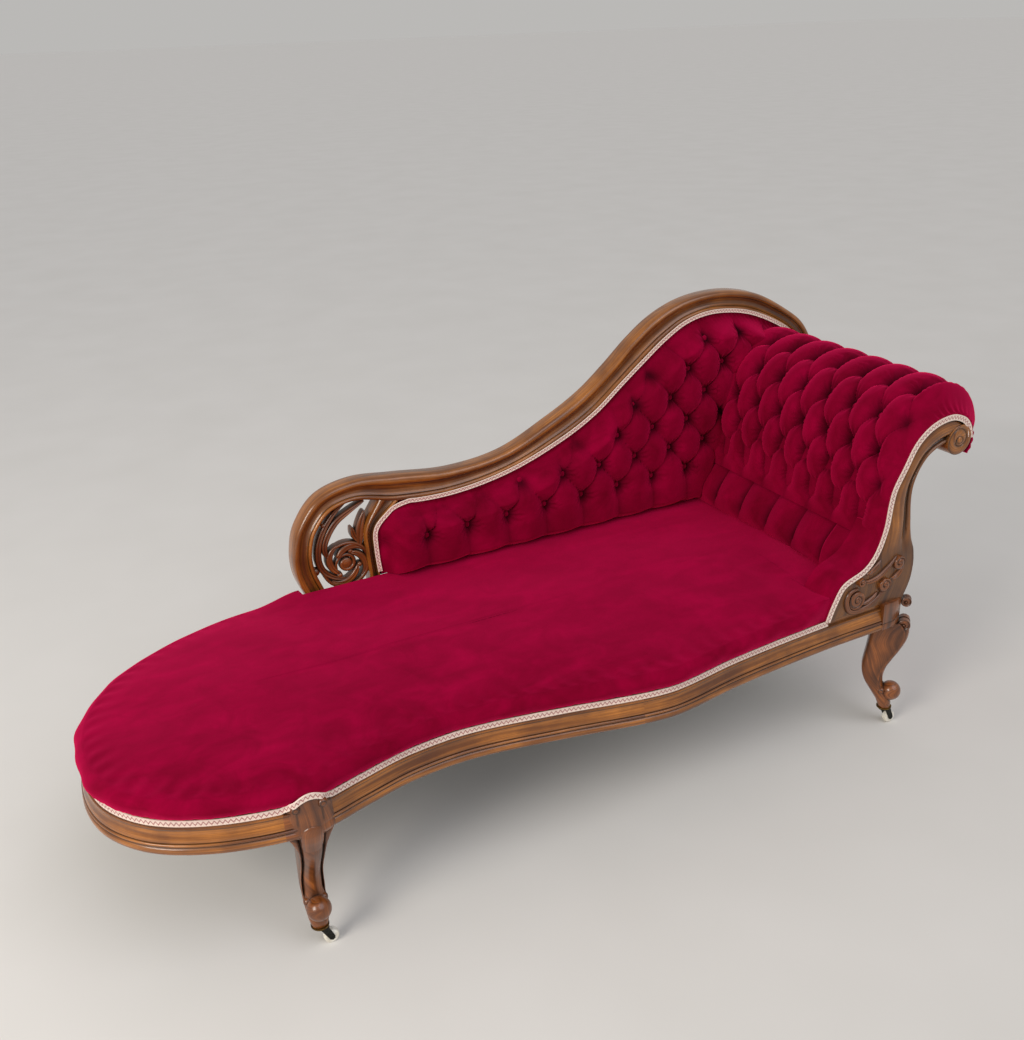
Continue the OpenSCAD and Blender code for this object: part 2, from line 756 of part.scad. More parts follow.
// Head-end post: outer and inner edges of its S, from the rail to the scroll
post_outer_shares = [
    [0.880, 0.417], [0.882, 0.460], [0.880, 0.492], [0.877, 0.525], [0.8735, 0.574],
    [0.870, 0.628], [0.871, 0.666], [0.8775, 0.701], [0.887, 0.725], [0.898, 0.739],
    [0.909, 0.747], [0.919, 0.751], [0.924, 0.754], [0.9276, 0.7554],
];
post_inner_shares = [
    [0.767, 0.416], [0.779, 0.457], [0.808, 0.483], [0.822, 0.516], [0.8315, 0.574],
    [0.8345, 0.633], [0.838, 0.669], [0.849, 0.714], [0.864, 0.771], [0.885, 0.805],
    [0.912, 0.817], [0.932, 0.804], [0.942, 0.781], [0.9464, 0.751],
];
post_foot_x = [at_x(0.872), at_x(0.759)];
post_outer = concat([[post_foot_x[0], rail_top]], [for (p = post_outer_shares) [at_x(p.x), at_z(p.y)]]);
post_inner = concat([[post_foot_x[1], rail_top]], [for (p = post_inner_shares) [at_x(p.x), at_z(p.y)]]);
k_post_end = len(post_outer) - 1;
post_y = seat_line[k_head_leg].y + rail_t / 4;
volute_x = at_x(0.928);
volute_z = at_z(0.752);
volute_r = 34;

module head_front_post() {
    color("#6b3d1c")
        union() {
            band(post_outer, post_inner, stations(0, k_post_end, 2), post_y, post_t, crest_section_shares, [0, 1]);
            translate([volute_x, post_y + post_t, volute_z])
                rotate([90, 0, 0])
                    cylinder(h = post_t, r = volute_r, $fn = 64);
        }
}

// Carved relief on the corner of the front post: volutes and their scroll
relief_t = 6;
corner_x = at_x(0.799);
corner_z = at_z(0.408);
corner_r = 27;
c_scroll_shares = [
    [0.10, 1.0], [-0.75, 0.78], [-1.0, 0.0], [-0.62, -0.80], [0.30, -1.05],
    [1.6, -0.78], [2.8, -0.02], [3.25, 0.85],
];
// Volutes: place and radius in shares of the largest
corner_volute_shares = [[0, 0, 0.78], [2.95, 0.63, 0.62], [0.37, 1.52, 0.36], [4.3, 2.3, 0.6]];

module post_carving() {
    color("#5a3016")
        union() {
            slab(post_y - relief_t - seat_gap, relief_t)
                translate([corner_x, corner_z])
                    polygon(ribbon([for (p = c_scroll_shares) p * corner_r], corner_r * 0.34, corner_r * 0.16, 24));
            for (v = corner_volute_shares)
                translate([corner_x + v.x * corner_r, post_y - seat_gap, corner_z + v.y * corner_r])
                    rotate([90, 0, 0])
                        rotate_extrude($fn = 48)
                            polygon([
                                [0, 0], [v.z * corner_r, 0], [v.z * corner_r, relief_t * 0.5],
                                [v.z * corner_r * 0.8, relief_t], [v.z * corner_r * 0.6, relief_t * 0.4],
                                [v.z * corner_r * 0.3, relief_t * 1.2], [0, relief_t * 1.3],
                            ]);
        }
}

rear_post_y = back_y - seat_gap - post_t;

// Path of the head-end padding: up the posts' inner edge and round the roll
head_line = concat(
    [for (k = [4 : k_post_end]) post_inner[k]],
    [[at_x(0.9440), at_z(0.724)], [at_x(0.937), at_z(0.704)]]
);
k_head_start = 0.6;
k_head_stop = len(head_line) - 1;
head_y0 = post_y;
head_y1 = back_y - seat_gap;
post_in_y = post_y + post_t + seat_gap;
rear_in_y = rear_post_y - seat_gap;
edge_pad = 6;
// Clearance over the posts' curved edges
post_gap = 4 * seat_gap;

// Length of the head's path up to t, for the rows of buttons
function head_len(t, n = 24) =
    sum([for (i = [0 : n - 1]) norm(curve(head_line, lerp(0, t, (i + 1) / n)) - curve(head_line, lerp(0, t, i / n)))]);
// Depth of the padding behind the posts' edge, less on the roll
function head_deep(t) = lerp(head_depth * 1.6, head_depth / 3, ease((t - 2) / 5));
// Height of the crown above the posts' edge
function head_crown(t) = roll_rise * (0.06 + 1.02 * ease((t - 1.6) / 6.4)) * (1 - 0.6 * ease((t - 10) / 2));
// Quilting between buttons: 0 at a button and its creases, 1 between them
function quilt(u, v) =
    let (a = u + v / 2, b = u - v / 2)
    pow(abs(sin(180 * a) * sin(180 * b)), 0.45);
// Share of the quilting at a distance d from the padding's edge
function edge_share(d, reach) = ease(d / reach);
row_start = head_row * 1.18;
head_mid_y = (post_in_y + rear_in_y) / 2;
// Reach of the padding's roll-over at its edges, and the plain strip along them
head_roll_w = 60;
head_plain_w = 12;

function head_out(t, s, y) =
    let (
        side = min(y - head_y0, head_y1 - y),
        swell = edge_share(side + head_plain_w / 3, head_roll_w),
        v = (s - row_start) / head_row,
        u = (y - head_mid_y) / head_pitch,
        tuft = tuft_depth * edge_share(side - head_plain_w, head_roll_w * 0.85)
            * edge_share(s - head_s0, head_row * 0.6) * ease((k_head_stop - t + 0.2) / 1.6),
        // Over and beside a post the creases stop above its edge
        by_post = y < post_in_y + head_pitch / 4 || y > rear_in_y - head_pitch / 4
    )
    max(by_post ? edge_pad / 2 : -head_depth, lerp(edge_pad, head_crown(t), swell) - tuft * (1 - quilt(u, v)));

// A place at t on the head's path, moved out by o, across the couch at y
function head_at(t, y, o) =
    let (p = curve(head_line, t) + o * curve_side(head_line, t)) [p.x, y, p.y];
// Path place at a length s along the head's padding
function head_t(s, lo = 0, hi = 12, n = 14) =
    n == 0 ? (lo + hi) / 2
    : let (mid = (lo + hi) / 2) head_len(mid) < s ? head_t(s, mid, hi, n - 1) : head_t(s, lo, mid, n - 1);

// Stations up the slope: three to a row of buttons
head_s0 = head_len(k_head_start);
head_s1 = head_len(k_head_stop);
head_stations = [
    for (i = [ceil((head_s0 - row_start) / head_row * 3 + 0.2) : floor((head_s1 - row_start) / head_row * 3 - 0.2)])
        row_start + i * head_row / 3
];
// Stations across: four to a button
head_cols = [
    for (j = [ceil((head_y0 - head_mid_y) / head_pitch * 4 + 0.3) : floor((head_y1 - head_mid_y) / head_pitch * 4 - 0.3)])
        head_mid_y + j * head_pitch / 4
];

// Path places of those stations
head_ts = [for (s = concat([head_s0], head_stations, [head_s1])) head_t(s)];

module head_pad() {
    ys = concat([head_y0], head_cols, [head_y1]);
    hub = (head_y0 + head_y1) / 2;
    color("#a50036")
        difference() {
            loft([
                for (t = head_ts)
                    let (s = head_len(t), deep = -head_deep(t))
                    concat(
                        [for (y = ys) head_at(t, y, head_out(t, s, y))],
                        [head_at(t, head_y1, post_gap), head_at(t, rear_in_y, post_gap),
                         head_at(t, rear_in_y, deep), head_at(t, post_in_y, deep),
                         head_at(t, post_in_y, post_gap), head_at(t, head_y0, post_gap)]
                    )
            ], [for (t = [head_ts[0], head_ts[len(head_ts) - 1]]) head_at(t, hub, edge_pad / 4)]);
            for (b = head_button_spots())
                place_head_button(b) pocket();
        }
}

// Hidden rear post, a plank: set back beside the fluted border, then under the padding
rear_foot_x = curve(head_line, k_head_start).x + head_deep(k_head_start);
cover_gap = cloth_t + 2 * seat_gap;

module head_rear_post() {
    color("#8a5a32")
        slab(rear_post_y, post_t)
            polygon(concat(
                [[rear_foot_x, rail_top], [rear_foot_x, at_z(0.54)]],
                [for (t = head_ts) if (t > 1.5 && t < k_head_stop - 2) curve(head_line, t)],
                [for (k = stations(0, k_post_end, 2))
                    let (j = k_post_end - k) curve(post_outer, j) + cover_gap * curve_side(post_outer, j)]
            ));
}

// Fluted border under the head end's buttons: its depth and number of channels
lumbar_w = 82;
flutes = 5;
lumbar_shares = [
    [0.00, 0.00], [-0.10, 0.22], [-0.04, 0.46], [0.20, 0.70], [0.52, 0.90], [0.86, 0.97],
    [0.98, 0.90], [1.02, 0.60], [1.02, 0.10], [0.98, 0.00],
];
seat_top_z = rail_top + seat_rim + seat_crown * 0.6;
lumbar_x = at_x(0.8075);

lumbar_z0 = seat_top_z + 2 * seat_gap;
lumbar_h = curve(head_line, k_head_start).y - 3 * seat_gap - lumbar_z0;
lumbar_d = min(lumbar_w, rear_foot_x - seat_gap - lumbar_x);
// Fall of its top under the slanted edge of the head's padding
lumbar_fall_share = 0.36;

// A point of the border's section in X and Z
function lumbar_at(share) =
    let (x = lumbar_x + lumbar_d * share.x / 1.02, past = max(0, x - curve(head_line, k_head_start).x))
    [x, lumbar_z0 + lumbar_h * share.y / 0.97 - lumbar_fall_share * past * share.y];

module lumbar_pad() {
    color("#a50036")
        loft([
            for (u = steps(0, 1, 30))
                let (
                    plain_share = 0.16,
                    part = (u - plain_share) / (1 - plain_share),
                    valley = part < 0 ? 0 : 1 - pow(abs(sin(180 * flutes * part)), 0.5)
                )
                [for (s = lumbar_shares)
                    let (
                        p = lumbar_at(s),
                        front = clamp01(1 - s.x) * clamp01(s.y * 3),
                        sink = tuft_depth * valley * front
                    )
                    [p.x + 0.6 * sink, lerp(post_in_y, head_y1, u), p.y - 0.4 * sink]]
        ]);
}

// Pocket that a button's twine draws into the padding, its floor at the origin
module pocket() {
    cylinder(h = tuft_depth * 1.6, d = button_d + 6 * seat_gap, $fn = 12);
}

// Covered button, its back just off the pocket's floor and its dome along +Z
module button() {
    translate([0, 0, seat_gap])
        rotate_extrude($fn = 24)
            polygon([
                [0, 0], [button_d / 2, 0], [button_d / 2, button_d * 0.12],
                [button_d * 0.36, button_d * 0.24], [button_d * 0.18, button_d * 0.31], [0, button_d * 0.33],
            ]);
}

// Rows and columns of the back's buttons, in halves of their pitch
back_row_z = at_z(0.524);
back_col_x = at_x(0.421);
back_rows = [
    [0, 7, 0], [0, 7, 0.5], [4, 8, 0], [5, 7, 0.5], [6, 8, 0], [6, 7, 0.5],
];
// Rise of the rows towards the head
row_slope = 0.022;
function back_button_spots() = [
    for (r = [0 : len(back_rows) - 1], c = [back_rows[r][0] : back_rows[r][1]])
        let (
            x = back_col_x + (c + back_rows[r][2]) * back_pitch,
            p = [x, back_row_z + r * back_row + row_slope * (x - back_col_x)]
        )
        if (clear_of(p, back_low) && clear_of(p, back_high)) p
];
// Distance of p from an edge, and whether a button there stays clear of it
function edge_gap(p, edge) = min([for (t = steps(0, len(edge) - 1, 60)) norm(curve(edge, t) - p)]);
function clear_of(p, edge) = edge_gap(p, edge) > button_d * 2.1;

// Edges of the back's padding: under the crest, and over the seat and head pad
pad_gap = seat_gap * 2;
function crown_at(t) =
    curve(head_line, t) + (head_crown(t) + 11 * pad_gap) * curve_side(head_line, t);
back_low = concat(
    [for (s = steps(0, 1, 6)) [lerp(upright_right[0].x + pad_gap, at_x(0.772), s), seat_top_z + 3 * pad_gap]],
    [[lumbar_x - lumbar_w * 0.15, seat_top_z + 6 * pad_gap]],
    [for (i = [1 : 3]) lumbar_at(lumbar_shares[i]) - [4 * pad_gap, -pad_gap]],
    [for (t = [0.8, 1.6, 2.8, 4.2, 5.6, 6.25, 6.9]) crown_at(t)]
);
back_high_knots = [
    7.0, 7.5, 8.3, 9.1, 10.0, 11.25, 12.85, 13.7, 14.0, 14.25, 14.65, 15.05, 15.4, 15.75, 16.1, 16.8, 17.55, 18.45,
];
back_high = [for (k = back_high_knots) facet(crest_inner, k, 2) - 3 * pad_gap * curve_side(crest_inner, k)];
k_back_pad = len(back_low) - 1;
back_pad_rear = back_y + back_t * 0.28;
back_edge_y = back_y + back_t * 0.05;
// Reach of the padding's roll-over at its edges
back_roll_w = 46;

// Depth of the back's padding in front of its edge, at a place in its plane
function back_swell(x, z, d) =
    let (
        row = (z - back_row_z - row_slope * (x - back_col_x)) / back_row,
        col = (x - back_col_x) / back_pitch,
        q = row < 0 ? pow(abs(sin(180 * col)), 0.45) : quilt(col, row)
    )
    back_pad_t * edge_share(d - gimp_w * 0.9, back_roll_w)
    - tuft_depth * 1.1 * edge_share(d - gimp_w, back_roll_w) * (1 - q);

module back_pad() {
    rows = 15;
    columns = 56;
    bow = upright_w * 0.44;
    color("#a50036")
        difference() {
            loft([
                for (t = steps(0, k_back_pad, columns))
                    let (
                        a = curve(back_low, t),
                        b = curve(back_high, t),
                        l = norm(b - a),
                        side = min(t, k_back_pad - t) * back_pitch,
                        // The seat hides the lower edge, so it starts part of the way out
                        start = back_roll_w * 0.65 * (1 - clamp01(t - 7))
                    )
                    concat(
                        [for (v = steps(0, 1, rows))
                            let (
                                p = lerp(a, b, v) - [bow * sin(180 * v) * clamp01(1 - t), 0],
                                d = min(l * (1 - v), l * v + start, side + gimp_w)
                            )
                            [p.x, back_edge_y - back_swell(p.x, p.y, d), p.y]],
                        [[b.x, back_pad_rear, b.y], [a.x, back_pad_rear, a.y]]
                    )
            ], pivot = rows + 2);
            for (p = back_button_spots())
                place_back_button(p) pocket();
        }
}

// Sinking of the pockets' floors below the creases
pocket_sink = 1.5;

module place_back_button(p) {
    swell = back_swell(p.x, p.y, edge_gap(p, back_high));
    translate([p.x, back_edge_y - swell + pocket_sink, p.y])
        rotate([90, 0, 0])
            children();
}

module back_buttons() {
    color("#8c0030")
        for (p = back_button_spots())
            place_back_button(p) button();
}

// Rows of the head's buttons: length up the slope and place across
function head_button_spots() = [
    for (r = [0 : 4], c = [-3 : 3])
        let (y = head_mid_y + (c + (r % 2) / 2) * head_pitch)
        if (y > head_y0 + head_pitch && y < head_y1 - head_pitch / 2)
            [row_start + r * head_row, y]
];

module place_head_button(b) {
    t = head_t(b.x);
    n = curve_side(head_line, t);
    translate(head_at(t, b.y, head_out(t, b.x, b.y)))
        rotate([0, atan2(n.x, n.y), 0])
            children();
}

module head_buttons() {
    color("#8c0030")
        for (b = head_button_spots())
            place_head_button(b) button();
}

// Gimp braid along the crest's inner edge and the upright
module back_gimp() {
    ts = stations(k_up_right, 20, 2);
    edge = function (o) [for (k = ts) curve(crest_inner, k) + o * curve_side(crest_inner, k)];
    n = len(ts) - 1;
    color("#e3b7a8")
        band(edge(gimp_w * 0.62), edge(-gimp_w * 0.38), steps(0, n, n), back_y - gimp_t - seat_gap, gimp_t,
            flat_section_shares);
}

// Cloth tacked on the back of the back frame
function back_panel_outline(gap) = concat(
    [for (k = stations(k_up_right, k_crest_end, 2)) facet(crest_inner, k, 2) - gap * curve_side(crest_inner, k)],
    [for (k = [10 : -1 : 1]) post_outer[k]],
    [[low_rail_x1, low_rail_top + gap]],
    [for (k = [0 : 8]) curve(upright_right, k / 3) + [gap, 0]]
);

module back_outside_cover() {
    color("#7c0428")
        slab(back_y + back_t - 3 * cloth_t, cloth_t)
            polygon(back_panel_outline(seat_gap));
}

module back_webbing() {
    y = back_pad_rear + seat_gap;
    color("#b79b6a")
        intersection() {
            slab(y, cloth_t) polygon(back_panel_outline(seat_gap));
            for (x = [at_x(0.40) : web_w * 1.5 : at_x(0.90)])
                translate([x, y - over, rail_top])
                    cube([web_w, cloth_t + 2 * over, couch_h]);
        }
}

// Rails between the head end's posts
stay_h = 40;
module head_stay_rail() {
    x0 = curve(post_inner, 4.6).x + head_deep(0) + 7 * cloth_t;
    color("#a07a4e")
        translate([x0, post_in_y, at_z(0.52)])
            cube([curve(post_outer, 5).x - x0 - cloth_t, rear_in_y - post_in_y, stay_h]);
}

// Flat rail under the curved webbing, let down by the curve's rise across it
module head_roll_rail() {
    t = 7;
    n = curve_side(head_line, t);
    p = curve(head_line, t) - (head_deep(t) + cloth_t + 2 * seat_gap + stay_h * 0.1) * n;
    color("#a07a4e")
        translate([p.x, post_in_y, p.y])
            rotate([0, atan2(n.x, n.y), 0])
                translate([-stay_h / 2, 0, -stay_h / 2])
                    cube([stay_h, rear_in_y - post_in_y, stay_h / 2]);
}

module head_lip_rail() {
    volute = [volute_x, volute_z];
    inside = min([for (t = head_ts) norm(curve(head_line, t) - volute) - head_deep(t)]);
    color("#a07a4e")
        translate([volute_x, post_in_y, volute_z])
            rotate([-90, 0, 0])
                cylinder(
                    h = rear_in_y - post_in_y,
                    r = min(volute_r - head_depth / 3, inside) - cloth_t * 2 - seat_gap,
                    $fn = 48
                );
}

module head_webbing() {
    n = 5;
    step = (rear_in_y - post_in_y - 2 * web_w / 5) / n;
    color("#b79b6a")
        for (i = [0 : n - 1])
            let (y0 = post_in_y + web_w / 5 + step * (i + 1/2) - web_w / 2)
            loft([
                for (t = head_ts)
                    if (t < k_head_stop - 1)
                        let (o = -head_deep(t) - seat_gap)
                        [for (q = [[y0, o], [y0 + web_w, o], [y0 + web_w, o - cloth_t], [y0, o - cloth_t]])
                            head_at(t, q[0], q[1])]
            ]);
}

module head_gimp() {
    ts = stations(0, k_post_end, 2);
    edge = function (o) [for (k = ts) curve(post_inner, k) + o * curve_side(post_inner, k)];
    n = len(ts) - 1;
    color("#e3b7a8")
        band(edge(-gimp_w * 0.8), edge(gimp_w * 0.2), steps(0, n, n), post_y - gimp_t - seat_gap, gimp_t,
            flat_section_shares);
}

module head_outside_cover() {
    ts = stations(0, 11.5, 2);
    edge = function (o) [for (k = ts) curve(post_outer, k) + o * curve_side(post_outer, k)];
    n = len(ts) - 1;
    color("#7c0428")
        band(edge(0), edge(cloth_t), steps(0, n, n), post_in_y, back_y - seat_gap - post_in_y,
            flat_section_shares);
}

// Webbing under the rails, springs on it, hessian over them
web_z = rail_z - cloth_t - seat_gap / 3;
spring_row_shares = [0.24, 0.52, 0.80];

module seat_webbing() {
    color("#b79b6a")
        intersection() {
            translate([0, 0, web_z])
                linear_extrude(cloth_t)
                    polygon([for (t = stations(0, k_end, 3)) let (p = seat_at(t, -rail_t / 3, 0)) [p.x, p.y]]);
            union() {
                for (i = [0 : springs_along - 1])
                    translate([spring_x0 + spring_pitch * (i + 1/2) - web_w / 2, -couch_d / 2, web_z - over])
                        cube([web_w, couch_d, cloth_t + 2 * over]);
                for (r = spring_row_shares)
                    translate([-couch_l / 2, at_y(r) - web_w / 2, web_z - over])
                        cube([couch_l, web_w, cloth_t + 2 * over]);
            }
        }
}

spring_turns = 3;
spring_z0 = rail_z + wire_d / 2 + seat_gap;
spring_z1 = rail_top - wire_d / 2 - seat_gap;

// Hourglass spring: one wound wire whose radius draws in at the waist
module coil_spring() {
    n = spring_turns * 8;
    centre = [
        for (i = [0 : n])
            let (u = i / n, a = 360 * spring_turns * u, r = spring_d / 2 * (0.62 + 0.38 * pow(abs(2 * u - 1), 1.5)))
            [r * cos(a), r * sin(a), lerp(spring_z0, spring_z1, u)]
    ];
    loft([
        for (i = [0 : n])
            let (
                a = 360 * spring_turns * i / n,
                out = [cos(a), sin(a), 0],
                c = centre[i]
            )
            [for (q = [0 : 3])
                c + wire_d / 2 * (cos(90 * q) * out + sin(90 * q) * [0, 0, 1])]
    ]);
}

module seat_springs() {
    color("#b8bcc0")
        for (i = [0 : springs_along - 1], r = spring_row_shares)
            translate([spring_x0 + spring_pitch * (i + 1/2), at_y(r), 0])
                coil_spring();
}

// Outline of the seat pad: front and foot from the rails, rear and head inside
pad_front_x = post_foot_x[1] - seat_gap - gimp_w;
pad_head_x = lumbar_x + lumbar_w * 0.4;
pad_rear_y = back_y - seat_gap;
k_pad_start = 2.02;
k_pad_stop = 20.85;
pad_knots = stations(k_pad_start, k_pad_stop, 3);
pad_rear_x = (crest_outer[1].x + crest_outer[2].x) / 2;

// Each vertex: place, way out, and how far it is exposed
pad_rim = concat(
    [for (t = pad_knots)
        let (
            p = seat_at(t, rebate_o, 0),
            shown = min(ease((t - k_pad_start) / 0.4), ease((k_pad_stop - t) / 0.8))
        )
        [[p.x, p.y], curve_side(seat_line, t), shown]],
    [for (s = steps(0, 1, 8)) [[lerp(pad_rear_x, pad_head_x, s), pad_rear_y], [0, 1], 0]],
    [for (s = steps(0.2, 1, 4)) [[pad_head_x, lerp(pad_rear_y, post_in_y, s)], [1, 0], 0]],
    [[[pad_front_x, post_in_y], [0, -1], 0]]
);
// Side of the pad: rise above the rails and bulge, in millimetre shares of the rim
pad_side_shares = [[0, 0], [0.30, 0.26], [0.62, 0.32], [0.88, 0.14], [1.06, -0.20]];
pad_in_shares = [0.06, 0.16, 0.34, 0.58, 0.82];

module seat_pad() {
    x_lo = at_x(0.17);
    x_hi = at_x(0.74);
    mid_y = at_y(0.49);
    bottom = rail_top + cloth_t + 2 * seat_gap;
    color("#a50036")
        loft(concat(
            [for (s = pad_side_shares)
                [for (v = pad_rim)
                    let (
                        p = v[0] + v[1] * (s.y * seat_rim * v[2]),
                        full = (seat_top_z - bottom) * s.x / 1.06,
                        h = lerp(full, (seat_rim - cloth_t) * s.x, v[2])
                    )
                    [p.x, p.y, bottom + h]]],
            [for (s = pad_in_shares)
                [for (v = pad_rim)
                    let (
                        edge = v[0] + v[1] * (-0.20 * seat_rim * v[2]),
                        c = [min(max(edge.x, x_lo), x_hi), mid_y],
                        p = lerp(edge, c, s),
                        z0 = lerp(seat_top_z, bottom + (seat_rim - cloth_t) * 1.06, v[2]),
                        z1 = rail_top + seat_rim + seat_crown,
                        // Flat under the back and the fluted border, round where it shows
                        rise = lerp(ease((s - 0.34) / 0.66), 1 - pow(1 - s, 2.4), v[2])
                    )
                    [p.x, p.y, lerp(z0, z1, rise)]]]
        ));
}

module seat_hessian() {
    color("#a98d5c")
        translate([0, 0, rail_top])
            linear_extrude(cloth_t)
                polygon([for (v = pad_rim) v[0] - v[1] * gimp_t]);
}

module seat_gimp() {
    color("#e3b7a8")
        loft([
            for (t = pad_knots)
                [for (q = [[0, 0], [gimp_t, 0], [gimp_t, gimp_w], [0, gimp_w]])
                    seat_at(t, rebate_o + seat_gap + q[0], gimp_z + seat_gap + q[1])]
        ]);
}

module bottom_cloth() {
    color("#2a2622")
        translate([0, 0, web_z - cloth_t - seat_gap])
            linear_extrude(cloth_t)
                difference() {
                    polygon([for (t = stations(0, k_end, 3)) let (p = seat_at(t, -rail_t / 2, 0)) [p.x, p.y]]);
                    for (p = castor_places)
                        translate([p.x, p.y])
                            rotate(p.z)
                                translate([-leg_reach * 0.3, 0])
                                    circle(r = ankle_r * 2.1, $fn = 48);
                }
}

front_rail_foot();
front_rail_head();
foot_rail_front();
foot_rail_back();
back_rail();
head_rail();
cross_strainers();
corner_blocks();
front_leg_foot();
front_leg_head();
rear_leg_foot();
rear_leg_head();
castor_plate(0);  // castor_plate_ff
castor_plate(1);  // castor_plate_fh
castor_plate(2);  // castor_plate_bf
castor_plate(3);  // castor_plate_bh
castor_fork(0);  // castor_fork_ff
castor_fork(1);  // castor_fork_fh
castor_fork(2);  // castor_fork_bf
castor_fork(3);  // castor_fork_bh
castor_axle(0);  // castor_axle_ff
castor_axle(1);  // castor_axle_fh
castor_axle(2);  // castor_axle_bf
castor_axle(3);  // castor_axle_bh
castor_wheel(0);  // castor_wheel_ff
castor_wheel(1);  // castor_wheel_fh
castor_wheel(2);  // castor_wheel_bf
castor_wheel(3);  // castor_wheel_bh
back_frame();
back_upright();
scroll_carving();
back_lower_rail();
back_webbing();
back_pad();
back_buttons();
back_gimp();
back_outside_cover();
head_front_post();
post_carving();
head_rear_post();
head_stay_rail();
head_roll_rail();
head_lip_rail();
head_webbing();
head_pad();
lumbar_pad();
head_buttons();
head_gimp();
head_outside_cover();
seat_webbing();
seat_springs();
seat_hessian();
seat_pad();
seat_gimp();
bottom_cloth();
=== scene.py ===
"""Looks of a fainting couch: show wood, crimson velvet, gimp braid and castors.

Shapes are worked out in millimetres in the part's own frame, X from the foot
to the head, Y from the front to the back, Z up, and become metres in the mesh.
"""
import logging
import math
from dataclasses import dataclass
from enum import Enum
from typing import Any

import bpy
import numpy as np
from mathutils import Matrix, Vector


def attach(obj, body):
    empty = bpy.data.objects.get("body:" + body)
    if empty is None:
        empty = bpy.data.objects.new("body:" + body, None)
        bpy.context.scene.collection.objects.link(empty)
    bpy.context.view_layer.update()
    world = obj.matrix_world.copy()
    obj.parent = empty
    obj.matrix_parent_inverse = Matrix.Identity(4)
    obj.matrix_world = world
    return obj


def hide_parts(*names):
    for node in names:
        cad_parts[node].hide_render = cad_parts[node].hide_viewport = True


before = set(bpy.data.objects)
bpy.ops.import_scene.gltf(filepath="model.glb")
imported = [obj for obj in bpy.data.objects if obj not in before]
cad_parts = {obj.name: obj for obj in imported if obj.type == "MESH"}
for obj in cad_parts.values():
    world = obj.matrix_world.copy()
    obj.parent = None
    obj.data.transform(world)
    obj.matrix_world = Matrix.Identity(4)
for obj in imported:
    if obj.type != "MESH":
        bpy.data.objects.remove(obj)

LOG = logging.getLogger("couch")
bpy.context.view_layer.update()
MM = 0.001
Array = np.ndarray
# A grid or section of points, and its recess mask, the share of painted shade
Surface = tuple[Array, Any]

# The couch's own sizes in millimetres, as its construction gives them
LENGTH, DEPTH, HEIGHT = 1976.0, 703.0, 924.0
RAIL_Z, RAIL_H, RAIL_T = 280.0, 65.0, 38.0
RAIL_TOP = RAIL_Z + RAIL_H
REBATE, REBATE_Z = -0.36 * RAIL_T, RAIL_Z + 0.8 * RAIL_H
BACK_T, POST_T, STILE_W, LEG_W = 42.0, 44.0, 25.0, 43.0
BACK_Y = DEPTH / 2 - BACK_T
POST_Y = -DEPTH / 2 + 0.057 * DEPTH + RAIL_T / 4
SEAT_RIM, SEAT_CROWN = 38.0, 28.0
SEAT_TOP = RAIL_TOP + SEAT_RIM + SEAT_CROWN * 0.6
LUMBAR_D, GIMP_W, GIMP_T = 82.0, 13.0, 2.4
# Clearance between pieces, and the wider one at the ends of pads and covers
GAP, WIDE_GAP = 0.3, 0.6
# Each castor's axis in X and Y, and the way that its leg points, in degrees
CASTORS = ((-654.0, -287.5, -94.0), (736.0, -287.5, -45.0), (-609.596, 318.549, 96.0), (707.408, 326.282, 90.0))


def share_x(s: float) -> float:
    """Returns the place along the length for a share of it."""
    return LENGTH * (s - 0.5)


def share_z(s: float) -> float:
    """Returns the height for a share of the couch's height."""
    return HEIGHT * s


STILE_X, LUMBAR_X = share_x(0.3555), share_x(0.8075)


def ease(t: Any) -> Any:
    """Returns a smooth rise from 0 to 1, t squared times (3 - 2t), clamped."""
    c = np.clip(t, 0.0, 1.0)
    return c * c * (3.0 - 2.0 * c)


def hump(x: Any, width: float) -> Any:
    """Returns a bell of height 1 at 0 that falls off over the width."""
    return np.exp(-(np.asarray(x) / width) ** 2)


def lengths(points: Array) -> Array:
    """Returns the length along a row of points up to each of them."""
    return np.concatenate([[0], np.cumsum(np.linalg.norm(np.diff(points, axis=0), axis=1))])


def stand(xz: Array, y: Any) -> Array:
    """Returns points in space from their X and Z, and from Y, one value or one a point."""
    return np.stack([xz[..., 0], np.broadcast_to(y, xz.shape[:-1]), xz[..., 1]], -1)


